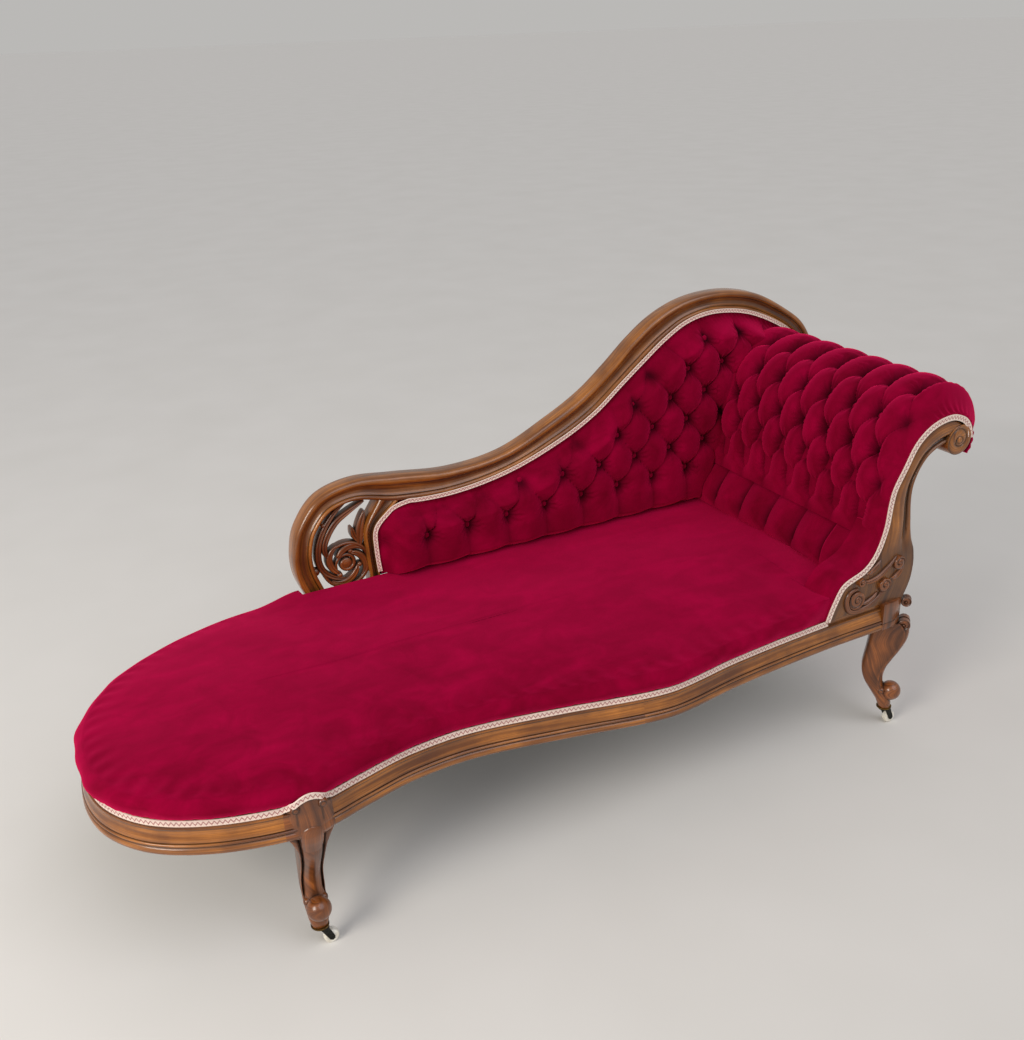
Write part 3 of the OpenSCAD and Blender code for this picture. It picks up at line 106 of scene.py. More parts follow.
class Line:
    """A smooth line through knots, straight from knot to knot where they line up."""

    def __init__(self, knots: Any) -> None:
        """Keeps the knots and their tangents, averaged over both neighbours.

        Args:
            knots: the points, one a row.
        """
        k = self.knots = np.asarray(knots, float)
        before, after = np.vstack([k[:1], k[:-1]]), np.vstack([k[1:], k[-1:]])
        span = np.linalg.norm(k - before, axis=1) + np.linalg.norm(after - k, axis=1)
        self.tangents = (after - before) / np.maximum(span, 1e-6)[:, None]
        self.last = len(k) - 1

    def at(self, t: Any) -> Array:
        """Returns the points at t, by the cubic that meets both knots' tangents.

        Args:
            t: places on the line, where a whole number is a knot.
        """
        t = np.atleast_1d(np.asarray(t, float))
        i = np.clip(np.floor(t).astype(int), 0, self.last - 1)
        f = (t - i)[:, None]
        a, b = self.knots[i], self.knots[i + 1]
        reach = np.linalg.norm(b - a, axis=1)[:, None]
        return (a * (2 * f**3 - 3 * f**2 + 1) + self.tangents[i] * reach * (f**3 - 2 * f**2 + f)
                + b * (3 * f**2 - 2 * f**3) + self.tangents[i + 1] * reach * (f**3 - f**2))

    def side(self, t: Any) -> Array:
        """Returns the unit normals to the left of a plane line at t."""
        t = np.atleast_1d(np.asarray(t, float))
        d = self.at(np.minimum(t + 0.02, self.last)) - self.at(np.maximum(t - 0.02, 0))
        d /= np.linalg.norm(d, axis=1)[:, None]
        return np.stack([-d[:, 1], d[:, 0]], 1)

    def beside(self, t: Any, out: Any) -> Array:
        """Returns the points at t moved out along the normals, one out for all or one each."""
        return self.at(t) + self.side(t) * np.reshape(out, (-1, 1))

    def raised(self, t: Array, out: Array) -> Array:
        """Returns a row of points for each t, out along its normal by that row of out."""
        return self.at(t)[:, None] + self.side(t)[:, None] * out[..., None]

    def even(self, lo: float, hi: float, step: float) -> Array:
        """Returns places from lo to hi that lie about a step apart along the line."""
        t = np.linspace(lo, hi, 600)
        run = lengths(self.at(t))
        return np.interp(np.linspace(0, run[-1], max(2, int(run[-1] / step) + 1)), run, t)


def of_shares(knots: Any, size: float = HEIGHT, start: float = 0.0) -> Line:
    """Returns the line through knots in shares of the length and of a size, less its start."""
    return Line(np.array(knots) * [LENGTH, size] - [LENGTH / 2, start])


def smooth(points: Any, per: int = 4) -> Array:
    """Returns the points of a smooth line through the given ones, per to a knot."""
    line = Line(points)
    return line.at(np.linspace(0, line.last, line.last * per + 1))


# Proudest face of the rails, from the head-end front corner round the foot
SEAT = of_shares([
    [0.876, 0.057], [0.840, 0.057], [0.757, 0.054], [0.634, 0.031], [0.550, 0.000], [0.509, 0.011],
    [0.426, 0.064], [0.338, 0.109], [0.276, 0.104], [0.222, 0.068], [0.184, 0.040], [0.145, 0.040],
    [0.085, 0.088], [0.037, 0.172], [0.008, 0.293], [0.000, 0.442], [0.012, 0.613], [0.047, 0.770],
    [0.105, 0.890], [0.171, 0.962], [0.212, 0.983], [0.282, 0.994], [0.840, 0.994], [0.876, 0.994]],
    DEPTH, DEPTH / 2)
PAD_START, PAD_STOP = 1.93, 20.85
CREST_OUTER = of_shares([
    [0.287, RAIL_TOP / HEIGHT], [0.277, 0.424], [0.269, 0.476], [0.268, 0.530], [0.276, 0.597],
    [0.302, 0.664], [0.344, 0.689], [0.395, 0.680], [0.464, 0.664], [0.533, 0.679], [0.599, 0.739],
    [0.644, 0.791], [0.680, 0.850], [0.711, 0.907], [0.743, 0.954], [0.780, 0.986], [0.820, 0.999],
    [0.862, 0.995], [0.904, 0.972], [0.947, 0.923], [0.978, 0.874], [0.997, 0.806], [1.000, 0.747],
    [0.991, 0.693]])
CREST_INNER = of_shares([
    [0.310, RAIL_TOP / HEIGHT], [0.299, 0.431], [0.291, 0.483], [0.290, 0.530], [0.297, 0.580],
    [0.316, 0.624], [0.347, 0.638], [0.397, 0.613], [0.467, 0.607], [0.541, 0.632], [0.611, 0.685],
    [0.657, 0.737], [0.695, 0.800], [0.727, 0.852], [0.756, 0.897], [0.787, 0.933], [0.820, 0.948],
    [0.857, 0.944], [0.892, 0.926], [0.934, 0.885], [0.961, 0.844], [0.976, 0.796], [0.978, 0.749],
    [0.970, 0.706]])
POST_OUTER = of_shares([
    [0.872, RAIL_TOP / HEIGHT], [0.880, 0.417], [0.882, 0.460], [0.880, 0.492], [0.877, 0.525],
    [0.8735, 0.574], [0.870, 0.628], [0.871, 0.666], [0.8775, 0.701], [0.887, 0.725], [0.898, 0.739],
    [0.909, 0.747], [0.919, 0.751], [0.924, 0.754], [0.9276, 0.7554]])
POST_INNER = of_shares([
    [0.759, RAIL_TOP / HEIGHT], [0.767, 0.416], [0.779, 0.457], [0.808, 0.483], [0.822, 0.516],
    [0.8315, 0.574], [0.8345, 0.633], [0.838, 0.669], [0.849, 0.714], [0.864, 0.771], [0.885, 0.805],
    [0.912, 0.817], [0.932, 0.804], [0.942, 0.781], [0.9464, 0.751]])
# Path of the head-end padding: up the posts' inner edge and round the roll
HEAD = Line(np.vstack([POST_INNER.knots[4:], of_shares([[0.9440, 0.724], [0.937, 0.704]]).knots]))
# Place on it of the head pad's foot, over the fluted border
HEAD_FOOT = 0.6


# ---------------------------------------------------------------- meshes


class Slot(Enum):
    """The record's material slots, one named for each kind of visible piece."""

    SHOW = "show_wood"
    CARVED = "carved_wood"
    VELVET = "velvet"
    BUTTON = "button_velvet"
    GIMP = "gimp"
    COVER = "outside_cover"
    LINING = "lining"


class Shape:
    """Gathers grid surfaces, with their UV places and masks, into one mesh."""

    def __init__(self, name: str) -> None:
        """Starts an empty shape.

        Args:
            name: name of the piece.
        """
        self.name = name
        self.points: list[Array] = []
        self.faces: list[Array] = []
        self.uvs: list[Array] = []
        self.masks: list[Array] = []

    @staticmethod
    def cells(at: Array) -> Array:
        """Returns the four corners of each cell of a grid of numbers."""
        return np.stack([at[:-1, :-1], at[1:, :-1], at[1:, 1:], at[:-1, 1:]], -1).reshape(-1, 4)

    def add(self, grid: Array, mask: Any = 0.0, uv: Array | None = None, closed: bool = True) -> "Shape":
        """Adds a surface given as a grid of points, row by row.

        Each four neighbours make a face. On a closed surface the last column
        also joins the first, a face caps each end row, and all faces turn
        outwards by the sign of the volume: the sum of a . (b x c) over the
        triangles of every face.

        Args:
            grid: rows by columns by 3, in millimetres.
            mask: depth in a recess or crease, 0 to 1, which the wood and velvet finishes paint as shade; for all, a
                column or a point; columns past its last have none.
            uv: rows by columns by 2; lengths along the grid in metres if None.
            closed: whether the surface is closed, and not a sheet.

        Returns:
            The shape itself.
        """
        rows, cols = grid.shape[:2]
        at = np.arange(rows * cols).reshape(rows, cols)
        order = [*range(cols), 0] if closed else [*range(cols)]
        looped, p = grid[:, order], grid.reshape(-1, 3)
        if uv is None:
            along = np.pad(np.cumsum(np.linalg.norm(np.diff(looped, axis=0), axis=2), 0), ((1, 0), (0, 0)))
            across = np.pad(np.cumsum(np.linalg.norm(np.diff(looped, axis=1), axis=2), 1), ((0, 0), (1, 0)))
            uv = np.stack([along.mean(1, keepdims=True) + 0 * along, across], -1) * MM
        spot = np.arange(uv.shape[0] * uv.shape[1]).reshape(uv.shape[:2])
        faces = [(self.cells(at[:, order]), self.cells(spot))]
        if closed:
            faces += [(at[:1], spot[:1, :cols]), (at[-1:, ::-1], spot[-1:, :cols][:, ::-1])]
            volume = sum(float(np.einsum("ik,ijk->", p[f[:, 0]], np.cross(p[f[:, 1:-1]], p[f[:, 2:]])))
                         for f, _ in faces)
            if volume < 0:
                faces = [(f[:, ::-1], s[:, ::-1]) for f, s in faces]
        count = sum(map(len, self.points))
        for face, places in faces:
            self.faces.append(face + count)
            self.uvs.append(uv.reshape(-1, 2)[places].reshape(-1, 2))
        dark, shown = np.zeros((rows, cols)), np.atleast_2d(mask)
        dark[:, :shown.shape[1] if shown.shape[1] > 1 else cols] = shown
        self.points.append(p)
        self.masks.append(dark.reshape(-1))
        return self

    def make(self, material: bpy.types.Material, node: str, slot: Slot, sharp: float = 60.0) -> bpy.types.Object:
        """Makes the object, dresses it and lets it ride on the couch's frame.

        Args:
            material: its finish.
            node: the construction's node that it stands for.
            slot: the record's material slot, not used.
            sharp: angle in degrees above which an edge stays sharp.

        Returns:
            The object.
        """
        points = np.concatenate(self.points) * MM
        loops = np.concatenate([f.reshape(-1) for f in self.faces])
        sizes = np.concatenate([np.full(len(f), f.shape[1]) for f in self.faces])
        mesh = bpy.data.meshes.new(self.name)
        mesh.vertices.add(len(points))
        mesh.vertices.foreach_set("co", points.astype(np.float32).reshape(-1))
        mesh.loops.add(len(loops))
        mesh.loops.foreach_set("vertex_index", loops.astype(np.int32))
        mesh.polygons.add(len(sizes))
        mesh.polygons.foreach_set("loop_start", (np.cumsum(sizes) - sizes).astype(np.int32))
        mesh.polygons.foreach_set("loop_total", sizes.astype(np.int32))
        mesh.update(calc_edges=True)
        uvs = np.concatenate(self.uvs).astype(np.float32).reshape(-1)
        mesh.uv_layers.new(name="UVMap").data.foreach_set("uv", uvs)
        # The mask of painted shade, read by the wood and velvet finishes
        recess = mesh.attributes.new("recess", "FLOAT", "POINT")
        recess.data.foreach_set("value", np.concatenate(self.masks).astype(np.float32))
        mesh.validate()
        mesh.polygons.foreach_set("use_smooth", np.ones(len(mesh.polygons), bool))
        mesh.set_sharp_from_angle(angle=math.radians(sharp))
        mesh.materials.append(material)
        obj = bpy.data.objects.new(self.name, mesh)
        bpy.context.scene.collection.objects.link(obj)
        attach(obj, "root")
        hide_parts(node)
        LOG.info("%s: %d faces", self.name, len(mesh.polygons))
        return obj


def sweep(t: Array, profile: Array) -> Array:
    """Carries an upright profile along the rails' outline.

    Each point is line(t) + o * side(t) at the height z, for (o, z) of the profile.

    Args:
        t: places on the outline.
        profile: points (o, z), in millimetres.

    Returns:
        The grid of points.
    """
    xy = SEAT.at(t)[:, None] + SEAT.side(t)[:, None] * profile[None, :, :1]
    return np.concatenate([xy, np.broadcast_to(profile[None, :, 1:], xy.shape[:2] + (1,))], 2)


def band(outer: Line, inner: Line, t: Array, section: Array, y0: float, depth: float, relief: Any = 1.0) -> Array:
    """Fills the strip between two lines of an upright plane with a section.

    Each point is outer + s * (inner - outer) in X and Z, at y0 + d * depth,
    where the front half of the section's d is scaled by the relief.

    Args:
        outer: outer edge in X and Z.
        inner: inner edge in X and Z.
        t: places on both edges.
        section: points (s, d), shares of the width and of the depth.
        y0: front of the section.
        depth: its depth.
        relief: scale of the front half, one value or one a place.

    Returns:
        The grid of points.
    """
    a, b = outer.at(t)[:, None], inner.at(t)[:, None]
    s, d = section.T
    scale = np.broadcast_to(relief, t.shape)[:, None]
    return stand(a + (b - a) * s[:, None], y0 + depth * np.where(d > 0.5, d, d * scale))


def strip(path: Array, width: float, tip: float, height: float, y: float, back: float, groove: float = 0.0) -> Surface:
    """A carved strip of half-round section along a path in an upright plane.

    Across it, c runs from -1 to 1 and the height is h * sqrt(1 - c^2), less a
    groove of share g * exp(-(c / 0.3)^2); behind, it is flat. Its width swells
    from the tips to the middle as sin^0.7.

    Args:
        path: points in X and Z.
        width: full width in the middle.
        tip: width at the ends.
        height: rise of the middle above the edges.
        y: plane of the strip's edges; it rises towards the front.
        back: plane of its flat back.
        groove: share of the rise that a middle groove takes away.

    Returns:
        The grid and its recess mask.
    """
    c = np.sin(np.linspace(-np.pi / 2, np.pi / 2, 13))
    w = (tip + (width - tip) * np.sin(np.pi * np.linspace(0, 1, len(path))) ** 0.7)[:, None] / 2
    rise = height * np.minimum(1, w / max(1.0, height * 0.9)) * (np.sqrt(1 - c**2) - groove * hump(c, 0.3))
    front = stand(Line(path).raised(np.arange(len(path)), w * c), y - rise)
    rear = stand(front[:, ::-1, ::2], back)
    # Painted shade along the strip's edges and in its groove
    return np.concatenate([front, rear], 1), 0.85 * np.abs(c) ** 6 + groove * hump(c, 0.2)


def spiral(r0: float, r1: float, a0: float, turn: float, n: int, eased: bool = True) -> Array:
    """Returns n points of a spiral about 0, from radius r0 to r1 and from angle a0 over the turn, in degrees."""
    u = np.linspace(0, 1, n)
    r, a = r0 + (r1 - r0) * (ease(u) if eased else u), np.radians(a0 + turn * u)
    return np.stack([r * np.cos(a), r * np.sin(a)], 1)


def arc(x: float, z: float, r_x: float, r_z: float, a0: float, a1: float, n: int) -> Array:
    """Returns n points of an ellipse about (x, z), from angle a0 to a1 in degrees."""
    a = np.radians(np.linspace(a0, a1, n))
    return np.stack([x + r_x * np.cos(a), z + r_z * np.sin(a)], 1)


def dome(centre: Any, radius: float, axis: Any, height: float, rows: int, cols: int, sink: float) -> Array:
    """A closed dome: radius * cos(e) across and height * sin(e) along the axis.

    Args:
        centre: middle of its foot.
        radius: its radius.
        axis: way that it rises.
        height: its rise.
        rows: rings from the foot to the top.
        cols: points round a ring.
        sink: how far its foot goes below the centre.

    Returns:
        The grid, whose end rows close on the axis.
    """
    w = np.asarray(axis, float) / np.linalg.norm(axis)
    u = np.cross(w, [0, 0, 1.0]) if abs(w[2]) < 0.9 else np.cross(w, [1.0, 0, 0])
    u /= np.linalg.norm(u)
    e = np.concatenate([[0, 0], np.linspace(0, np.pi / 2, rows)])[:, None]
    r, h = np.cos(e), height * np.sin(e)
    r[[0, -1]], h[:2] = 1e-3, -sink
    a = np.linspace(0, 2 * np.pi, cols, endpoint=False)
    way = np.cos(a)[:, None] * u + np.sin(a)[:, None] * np.cross(w, u)
    return np.asarray(centre, float) + (radius * r)[..., None] * way + h[..., None] * w


def knob(centre: Any, radius: float, axis: Any, ring: float, rows: int, cols: int, sink: float) -> Surface:
    """Returns a 7 mm dome, and a mask that paints a ring of shade at that radius about its axis."""
    grid = dome(centre, radius, axis, 7.0, rows, cols, sink)
    off = (grid - centre) * (np.array(axis) == 0)
    return grid, 0.9 * hump(np.linalg.norm(off, axis=-1) - ring, 1.2)


def volute(centre: Any, r: float, y: float, depth: float, turns: float, rise: float, hand: int = 1,
           rows: int = 30, cols: int = 72) -> Surface:
    """A round block whose front face carries a spiral scroll.

    The face stands at y - rise * |sin(pi * phase)|^0.6, where the phase is
    turns * rho + angle / (2 pi), rho the share of the radius; its middle is a
    round eye.

    Args:
        centre: middle, in X and Z.
        r: radius.
        y: front plane.
        depth: how far back the block goes.
        turns: turns of the scroll from the eye to the edge.
        rise: height of the scroll.
        hand: 1 or -1, which way it winds.
        rows: rings over the face.
        cols: points round.

    Returns:
        The grid and its recess mask.
    """
    rho = np.linspace(0.004, 1, rows)[:, None]
    a = np.linspace(0, 2 * np.pi, cols, endpoint=False)
    way = np.stack([np.cos(a), np.sin(a)], -1)
    ridge = np.abs(np.sin(np.pi * (turns * rho + hand * a / (2 * np.pi)))) ** 0.6
    eye = 1.25 * np.sqrt(np.clip(1 - (rho / 0.24) ** 2, 0, 1))
    height = np.where(rho < 0.24, eye, ridge * (0.75 + 0.25 * (1 - rho))) * rise
    face = stand(centre + r * rho[..., None] * way, y - height * np.clip((1.02 - rho) / 0.08, 0, 1) ** 0.5)
    # The wall back from the face, and a last ring that closes behind
    wall = [stand(np.asarray(centre) + reach * way, y + back) for reach, back in ((r, 1), (r, depth), (0.01, depth))]
    # Painted shade in the scroll's valleys and round its eye
    dark = np.where(rho < 0.22, 0, 0.95 * (1 - ridge) ** 1.3) + 0.6 * hump(rho - 0.25, 0.03)
    return np.concatenate([face, wall]), np.concatenate([np.clip(dark, 0, 0.95), np.zeros((3, cols))])


# ---------------------------------------------------------------- finishes


def linear(code: str) -> tuple[float, float, float, float]:
    """Returns the linear colour of an sRGB hex value.

    Args:
        code: such as "#a50036".
    """
    c = np.array([int(code[i:i + 2], 16) for i in (1, 3, 5)]) / 255
    c = np.where(c <= 0.04045, c / 12.92, ((c + 0.055) / 1.055) ** 2.4)
    return (float(c[0]), float(c[1]), float(c[2]), 1.0)


@dataclass(frozen=True)
class Net:
    """Adds nodes to a tree; each call returns the socket of its result."""

    tree: bpy.types.NodeTree

    def add(self, kind: str, inputs: dict[Any, Any] | None = None, out: Any = 0, **settings: Any) -> Any:
        """Adds a node, sets it and feeds it.

        Args:
            kind: the node's type, less its first part ShaderNode.
            inputs: socket name or number to a value, or to the socket that feeds it.
            out: name or number of the output to return.
            settings: the node's own settings.

        Returns:
            The output's socket.
        """
        node = self.tree.nodes.new("ShaderNode" + kind)
        for key, value in settings.items():
            setattr(node, key, value)
        self.feed(node, inputs or {})
        return node.outputs[out]

    def feed(self, node: bpy.types.Node, inputs: dict[Any, Any]) -> None:
        """Sets or links a node's inputs; a text is a colour in sRGB hex.

        Args:
            node: the node.
            inputs: socket name or number to a value, or to the socket that feeds it.
        """
        for key, value in inputs.items():
            if isinstance(value, bpy.types.NodeSocket):
                self.tree.links.new(value, node.inputs[key])
            else:
                node.inputs[key].default_value = linear(value) if isinstance(value, str) else value

    def noise(self, place: Any, scale: float, detail: float, **more: float) -> Any:
        """Returns noise at a place; more names further inputs."""
        return self.add("TexNoise", {"Vector": place, "Scale": scale, "Detail": detail, **more})

    def ramp(self, value: Any, lo: float, hi: float, start: float = 0.0, end: float = 1.0) -> Any:
        """Returns the value mapped from lo and hi to start and end, and held there."""
        return self.add("MapRange", {"Value": value, "From Min": lo, "From Max": hi, "To Min": start, "To Max": end})

    def sums(self, operation: str, *values: Any, **settings: Any) -> Any:
        """Returns the result of a Math node on the values."""
        return self.add("Math", dict(enumerate(values)), operation=operation, **settings)

    def mix(self, share: Any, low: Any, high: Any) -> Any:
        """Returns the colour between low and high by the share."""
        return self.add("Mix", {0: share, 6: low, 7: high}, 2, data_type="RGBA")

    def bump(self, height: Any, strength: float, distance: float, **more: Any) -> Any:
        """Returns the normal bent by a height; the distance is in metres."""
        return self.add("Bump", {"Height": height, "Strength": strength, "Distance": distance, **more})

    def recess(self, distance: float, *limits: float) -> Any:
        """Returns the share of painted shade in a recess: the mesh's own mask, or the shelter found within a distance.

        Args:
            distance: reach in metres of the search for shelter.
            limits: the ramp's four values from openness to depth.
        """
        mask = self.add("Attribute", out="Fac", attribute_name="recess")
        open_ = self.add("AmbientOcclusion", {"Distance": distance}, "AO", samples=6, only_local=True)
        return self.sums("MAXIMUM", mask, self.ramp(open_, *limits))


@dataclass(frozen=True)
class Finish:
    """A material; each kind of finish works out its own surface."""

    name: str

    def material(self) -> bpy.types.Material:
        """Returns the material with this finish's nodes."""
        mat = bpy.data.materials.new(self.name)
        mat.use_nodes = True
        net = Net(mat.node_tree)
        net.feed(mat.node_tree.nodes["Principled BSDF"], self.surface(net))
        return mat

    def surface(self, net: Net) -> dict[str, Any]:
        """Adds the finish's nodes.

        Args:
            net: adds them to the material's tree.

        Returns:
            The surface shader's inputs.
        """
        raise NotImplementedError


@dataclass(frozen=True)
class Velvet(Finish):
    """Cotton velvet, woven and cut: a painted sheen at grazing angles, painted shade in its creases."""

    pile: str = "#640019"
    brushed: str = "#980033"
    # Colour of the painted sheen, where the pile is seen at grazing angles
    edge: str = "#c9104f"
    # Colour of the painted shade in creases and sheltered hollows
    painted_crease_shade: str = "#26000a"

    def surface(self, net: Net) -> dict[str, Any]:
        """Adds nap patches of 30 to 120 mm and a pile of about 1 mm, drawn coarse to show.

        Args:
            net: adds them to the material's tree.

        Returns:
            The surface shader's inputs.
        """
        place = net.add("TexCoord", out="Object")
        nap = net.noise(place, 14.0, 4.0, Roughness=0.62, Distortion=0.6)
        turned = net.add("Mapping", {"Vector": place, "Scale": (7.0, 16.0, 11.0), "Rotation": (0.0, 0.3, 0.9)})
        brush = net.noise(turned, 1.0, 3.0, Distortion=0.8)
        cloth = net.mix(net.ramp(net.sums("MULTIPLY_ADD", nap, brush, 0.06), 0.12, 0.52), self.pile, self.brushed)
        # Painted sheen: pile seen from its side turns to the bright edge colour, pile seen from its tips stays dark
        painted_sheen_share = net.ramp(net.add("LayerWeight", {"Blend": 0.42}, "Facing"), 0.22, 0.95, 0.0, 0.85)
        lit = net.mix(painted_sheen_share, cloth, self.edge)
        soft = net.bump(nap, 0.25, 0.004)
        # Painted shade: the recess mask and the shelter found within 50 mm darken the colour towards the crease colour
        return {"Base Color": net.mix(net.recess(0.05, 0.30, 0.95, 0.75, 0.0), lit, self.painted_crease_shade),
                "Normal": net.bump(net.noise(place, 750.0, 2.0), 0.35, 0.0006, Normal=soft),
                "Roughness": 0.92, "Specular IOR Level": 0.05,
                "Sheen Weight": 0.8, "Sheen Roughness": 0.32, "Sheen Tint": "#ff2468"}


@dataclass(frozen=True)
class PolishedWood(Finish):
    """French polished walnut: a clear gloss over figured grain, and painted shade in the recesses."""

    light: str = "#c47b30"
    dark: str = "#4d230b"
    # Colour of the painted shade in recesses and crevices
    deep: str = "#120703"
    gloss: float = 0.26
    coat: float = 0.35

    def surface(self, net: Net) -> dict[str, Any]:
        """Adds grain lines 1 to 3 mm apart that run along the piece, figure of about 10 mm and wear of 60 mm.

        Args:
            net: adds them to the material's tree.

        Returns:
            The surface shader's inputs.
        """
        uv = net.add("UVMap", uv_map="UVMap")
        fine, broad = (net.add("Mapping", {"Vector": uv, "Scale": s}) for s in ((9.0, 620.0, 1.0), (3.5, 95.0, 1.0)))
        grain = net.noise(fine, 1.0, 5.0, Roughness=0.7, Distortion=0.9)
        figure = net.noise(broad, 1.0, 3.0, Distortion=0.7)
        worn = net.ramp(net.noise(net.add("TexCoord", out="Object"), 16.0, 3.0), 0.36, 0.64, 0.65, 1.25)
        figured = net.sums("MULTIPLY_ADD", net.ramp(grain, 0.25, 0.75), net.ramp(figure, 0.30, 0.66), 0.10)
        wood = net.mix(net.sums("MULTIPLY", figured, worn, use_clamp=True), self.dark, self.light)
        # Painted shade: the recess mask and the shelter found within 16 mm darken the colour towards deep, and roughen
        # the gloss
        depth = net.recess(0.016, 0.35, 0.92, 0.9, 0.0)
        return {"Base Color": net.mix(depth, wood, self.deep), "Roughness": net.ramp(depth, 0.0, 1.0, self.gloss, 0.6),
                "Normal": net.bump(grain, 0.12, 0.0004),
                "IOR": 1.5, "Coat Weight": self.coat, "Coat Roughness": 0.12}


@dataclass(frozen=True)
class Braid(Finish):
    """Gimp braid, woven rayon and cotton: cream cords with a rose zigzag between them."""

    cream: str = "#eed8cb"
    rose: str = "#96303a"
    # A zigzag each 9 mm, as the braid shows it
    period_mm: float = 9.0

    def surface(self, net: Net) -> dict[str, Any]:
        """Adds the zigzag, where |v - ping(u)| is small in the braid's own UV.

        Args:
            net: adds it to the material's tree.

        Returns:
            The surface shader's inputs.
        """
        uv = net.add("UVMap", uv_map="UVMap")
        u, v = (net.add("SeparateXYZ", {0: uv}, i) for i in (0, 1))
        half = self.period_mm * MM / 2
        swing = net.ramp(net.sums("PINGPONG", u, half), 0.0, half, 0.26, 0.74)
        zig = net.ramp(net.sums("ABSOLUTE", net.sums("SUBTRACT", v, swing)), 0.06, 0.17, 1.0, 0.0)
        thread = net.add("TexWave", {"Vector": uv, "Scale": 260.0, "Distortion": 2.0, "Detail": 1.0}, 1,
                         bands_direction="DIAGONAL")
        return {"Base Color": net.mix(net.sums("MULTIPLY", zig, 0.8), self.cream, self.rose),
                "Normal": net.bump(net.sums("MULTIPLY_ADD", thread, 0.4, zig), 0.5, 0.0008),
                "Roughness": 0.6, "Sheen Weight": 0.2}


@dataclass(frozen=True)
class Plain(Finish):
    """A plain finish on the construction's own pieces: one colour, mottled, with a fine relief."""

    colour: str
    stain: str
    rough: float
    metal: float = 0.0
    scale: float = 60.0
    relief_mm: float = 0.2
    coat: float = 0.0
    squeeze: tuple[float, float, float] = (1.0, 1.0, 1.0)

    def surface(self, net: Net) -> dict[str, Any]:
        """Adds mottle and relief from one noise in the piece's own place.

        Args:
            net: adds them to the material's tree.

        Returns:
            The surface shader's inputs.
        """
        turned = net.add("Mapping", {"Vector": net.add("TexCoord", out="Object"), "Scale": self.squeeze})
        noise = net.noise(turned, self.scale, 4.0, Roughness=0.6)
        return {"Base Color": net.mix(net.ramp(noise, 0.35, 0.7), self.stain, self.colour),
                "Normal": net.bump(noise, 0.4, self.relief_mm * MM),
                "Roughness": self.rough, "Metallic": self.metal, "Coat Weight": self.coat}


@dataclass(frozen=True)
class Woven(Finish):
    """A plain weave of coarse threads, such as jute: two sets of bands that cross."""

    thread: str = "#b0946a"
    gap: str = "#5c4526"
    # Thread pitch in millimetres, drawn as coarse as it needs to show
    pitch_mm: float = 3.0

    def surface(self, net: Net) -> dict[str, Any]:
        """Adds the weave, the product of bands along X and along Y.

        Args:
            net: adds it to the material's tree.

        Returns:
            The surface shader's inputs.
        """
        place = net.add("TexCoord", out="Object")
        scale = 1000.0 / self.pitch_mm / (2 * math.pi) * 0.3
        warp, weft = (net.add("TexWave", {"Vector": place, "Scale": scale}, 1, bands_direction=way) for way in "XY")
        weave = net.sums("MULTIPLY", warp, weft)
        return {"Base Color": net.mix(weave, self.gap, self.thread), "Normal": net.bump(weave, 0.5, 0.001),
                "Roughness": 0.95}


class Paint:
    """The couch's materials, each made once."""

    def __init__(self) -> None:
        """Makes every material."""
        self.velvet = Velvet("cotton_velvet_woven").material()
        self.cover = Velvet("cotton_velvet_stretched", "#6c001c", "#8a042e").material()
        self.show = PolishedWood("walnut_french_polished").material()
        self.carved = PolishedWood("walnut_carved_and_polished", "#a8602a", "#3c1a09", gloss=0.3).material()
        self.braid = Braid("gimp_braid_woven").material()
        self.beech = Plain("beech_planed_and_oiled", "#9a6a40", "#7a4d2a", 0.55, scale=18,
                           squeeze=(1, 14, 14)).material()
        self.sawn = Plain("beech_sawn", "#b48a5c", "#8f6a42", 0.85, 0.0, 22, 0.5, squeeze=(1, 12, 12)).material()
        self.web = Woven("jute_webbing_woven").material()
        self.hessian = Woven("jute_hessian_woven", "#a58a5a", "#4d3a20", 4.0).material()
        self.lining = Woven("cotton_lining_dyed", "#2b2724", "#100e0d", 2.0).material()
        self.wire = Plain("steel_wire_drawn", "#b08a70", "#6f5a4c", 0.4, 1.0, 200).material()
        self.brass = Plain("brass_cast_and_tarnished", "#8d6f3a", "#4e3c1e", 0.42, 1.0, 160).material()
        self.iron = Plain("cast_iron_blackened", "#3d3d3a", "#1c1b1a", 0.5, 0.9, 300, 0.4).material()
        self.china = Plain("pottery_glazed_white", "#f4f1e8", "#ddd6c6", 0.12, 0.0, 90, 0.05, 0.5).material()


# ---------------------------------------------------------------- show wood


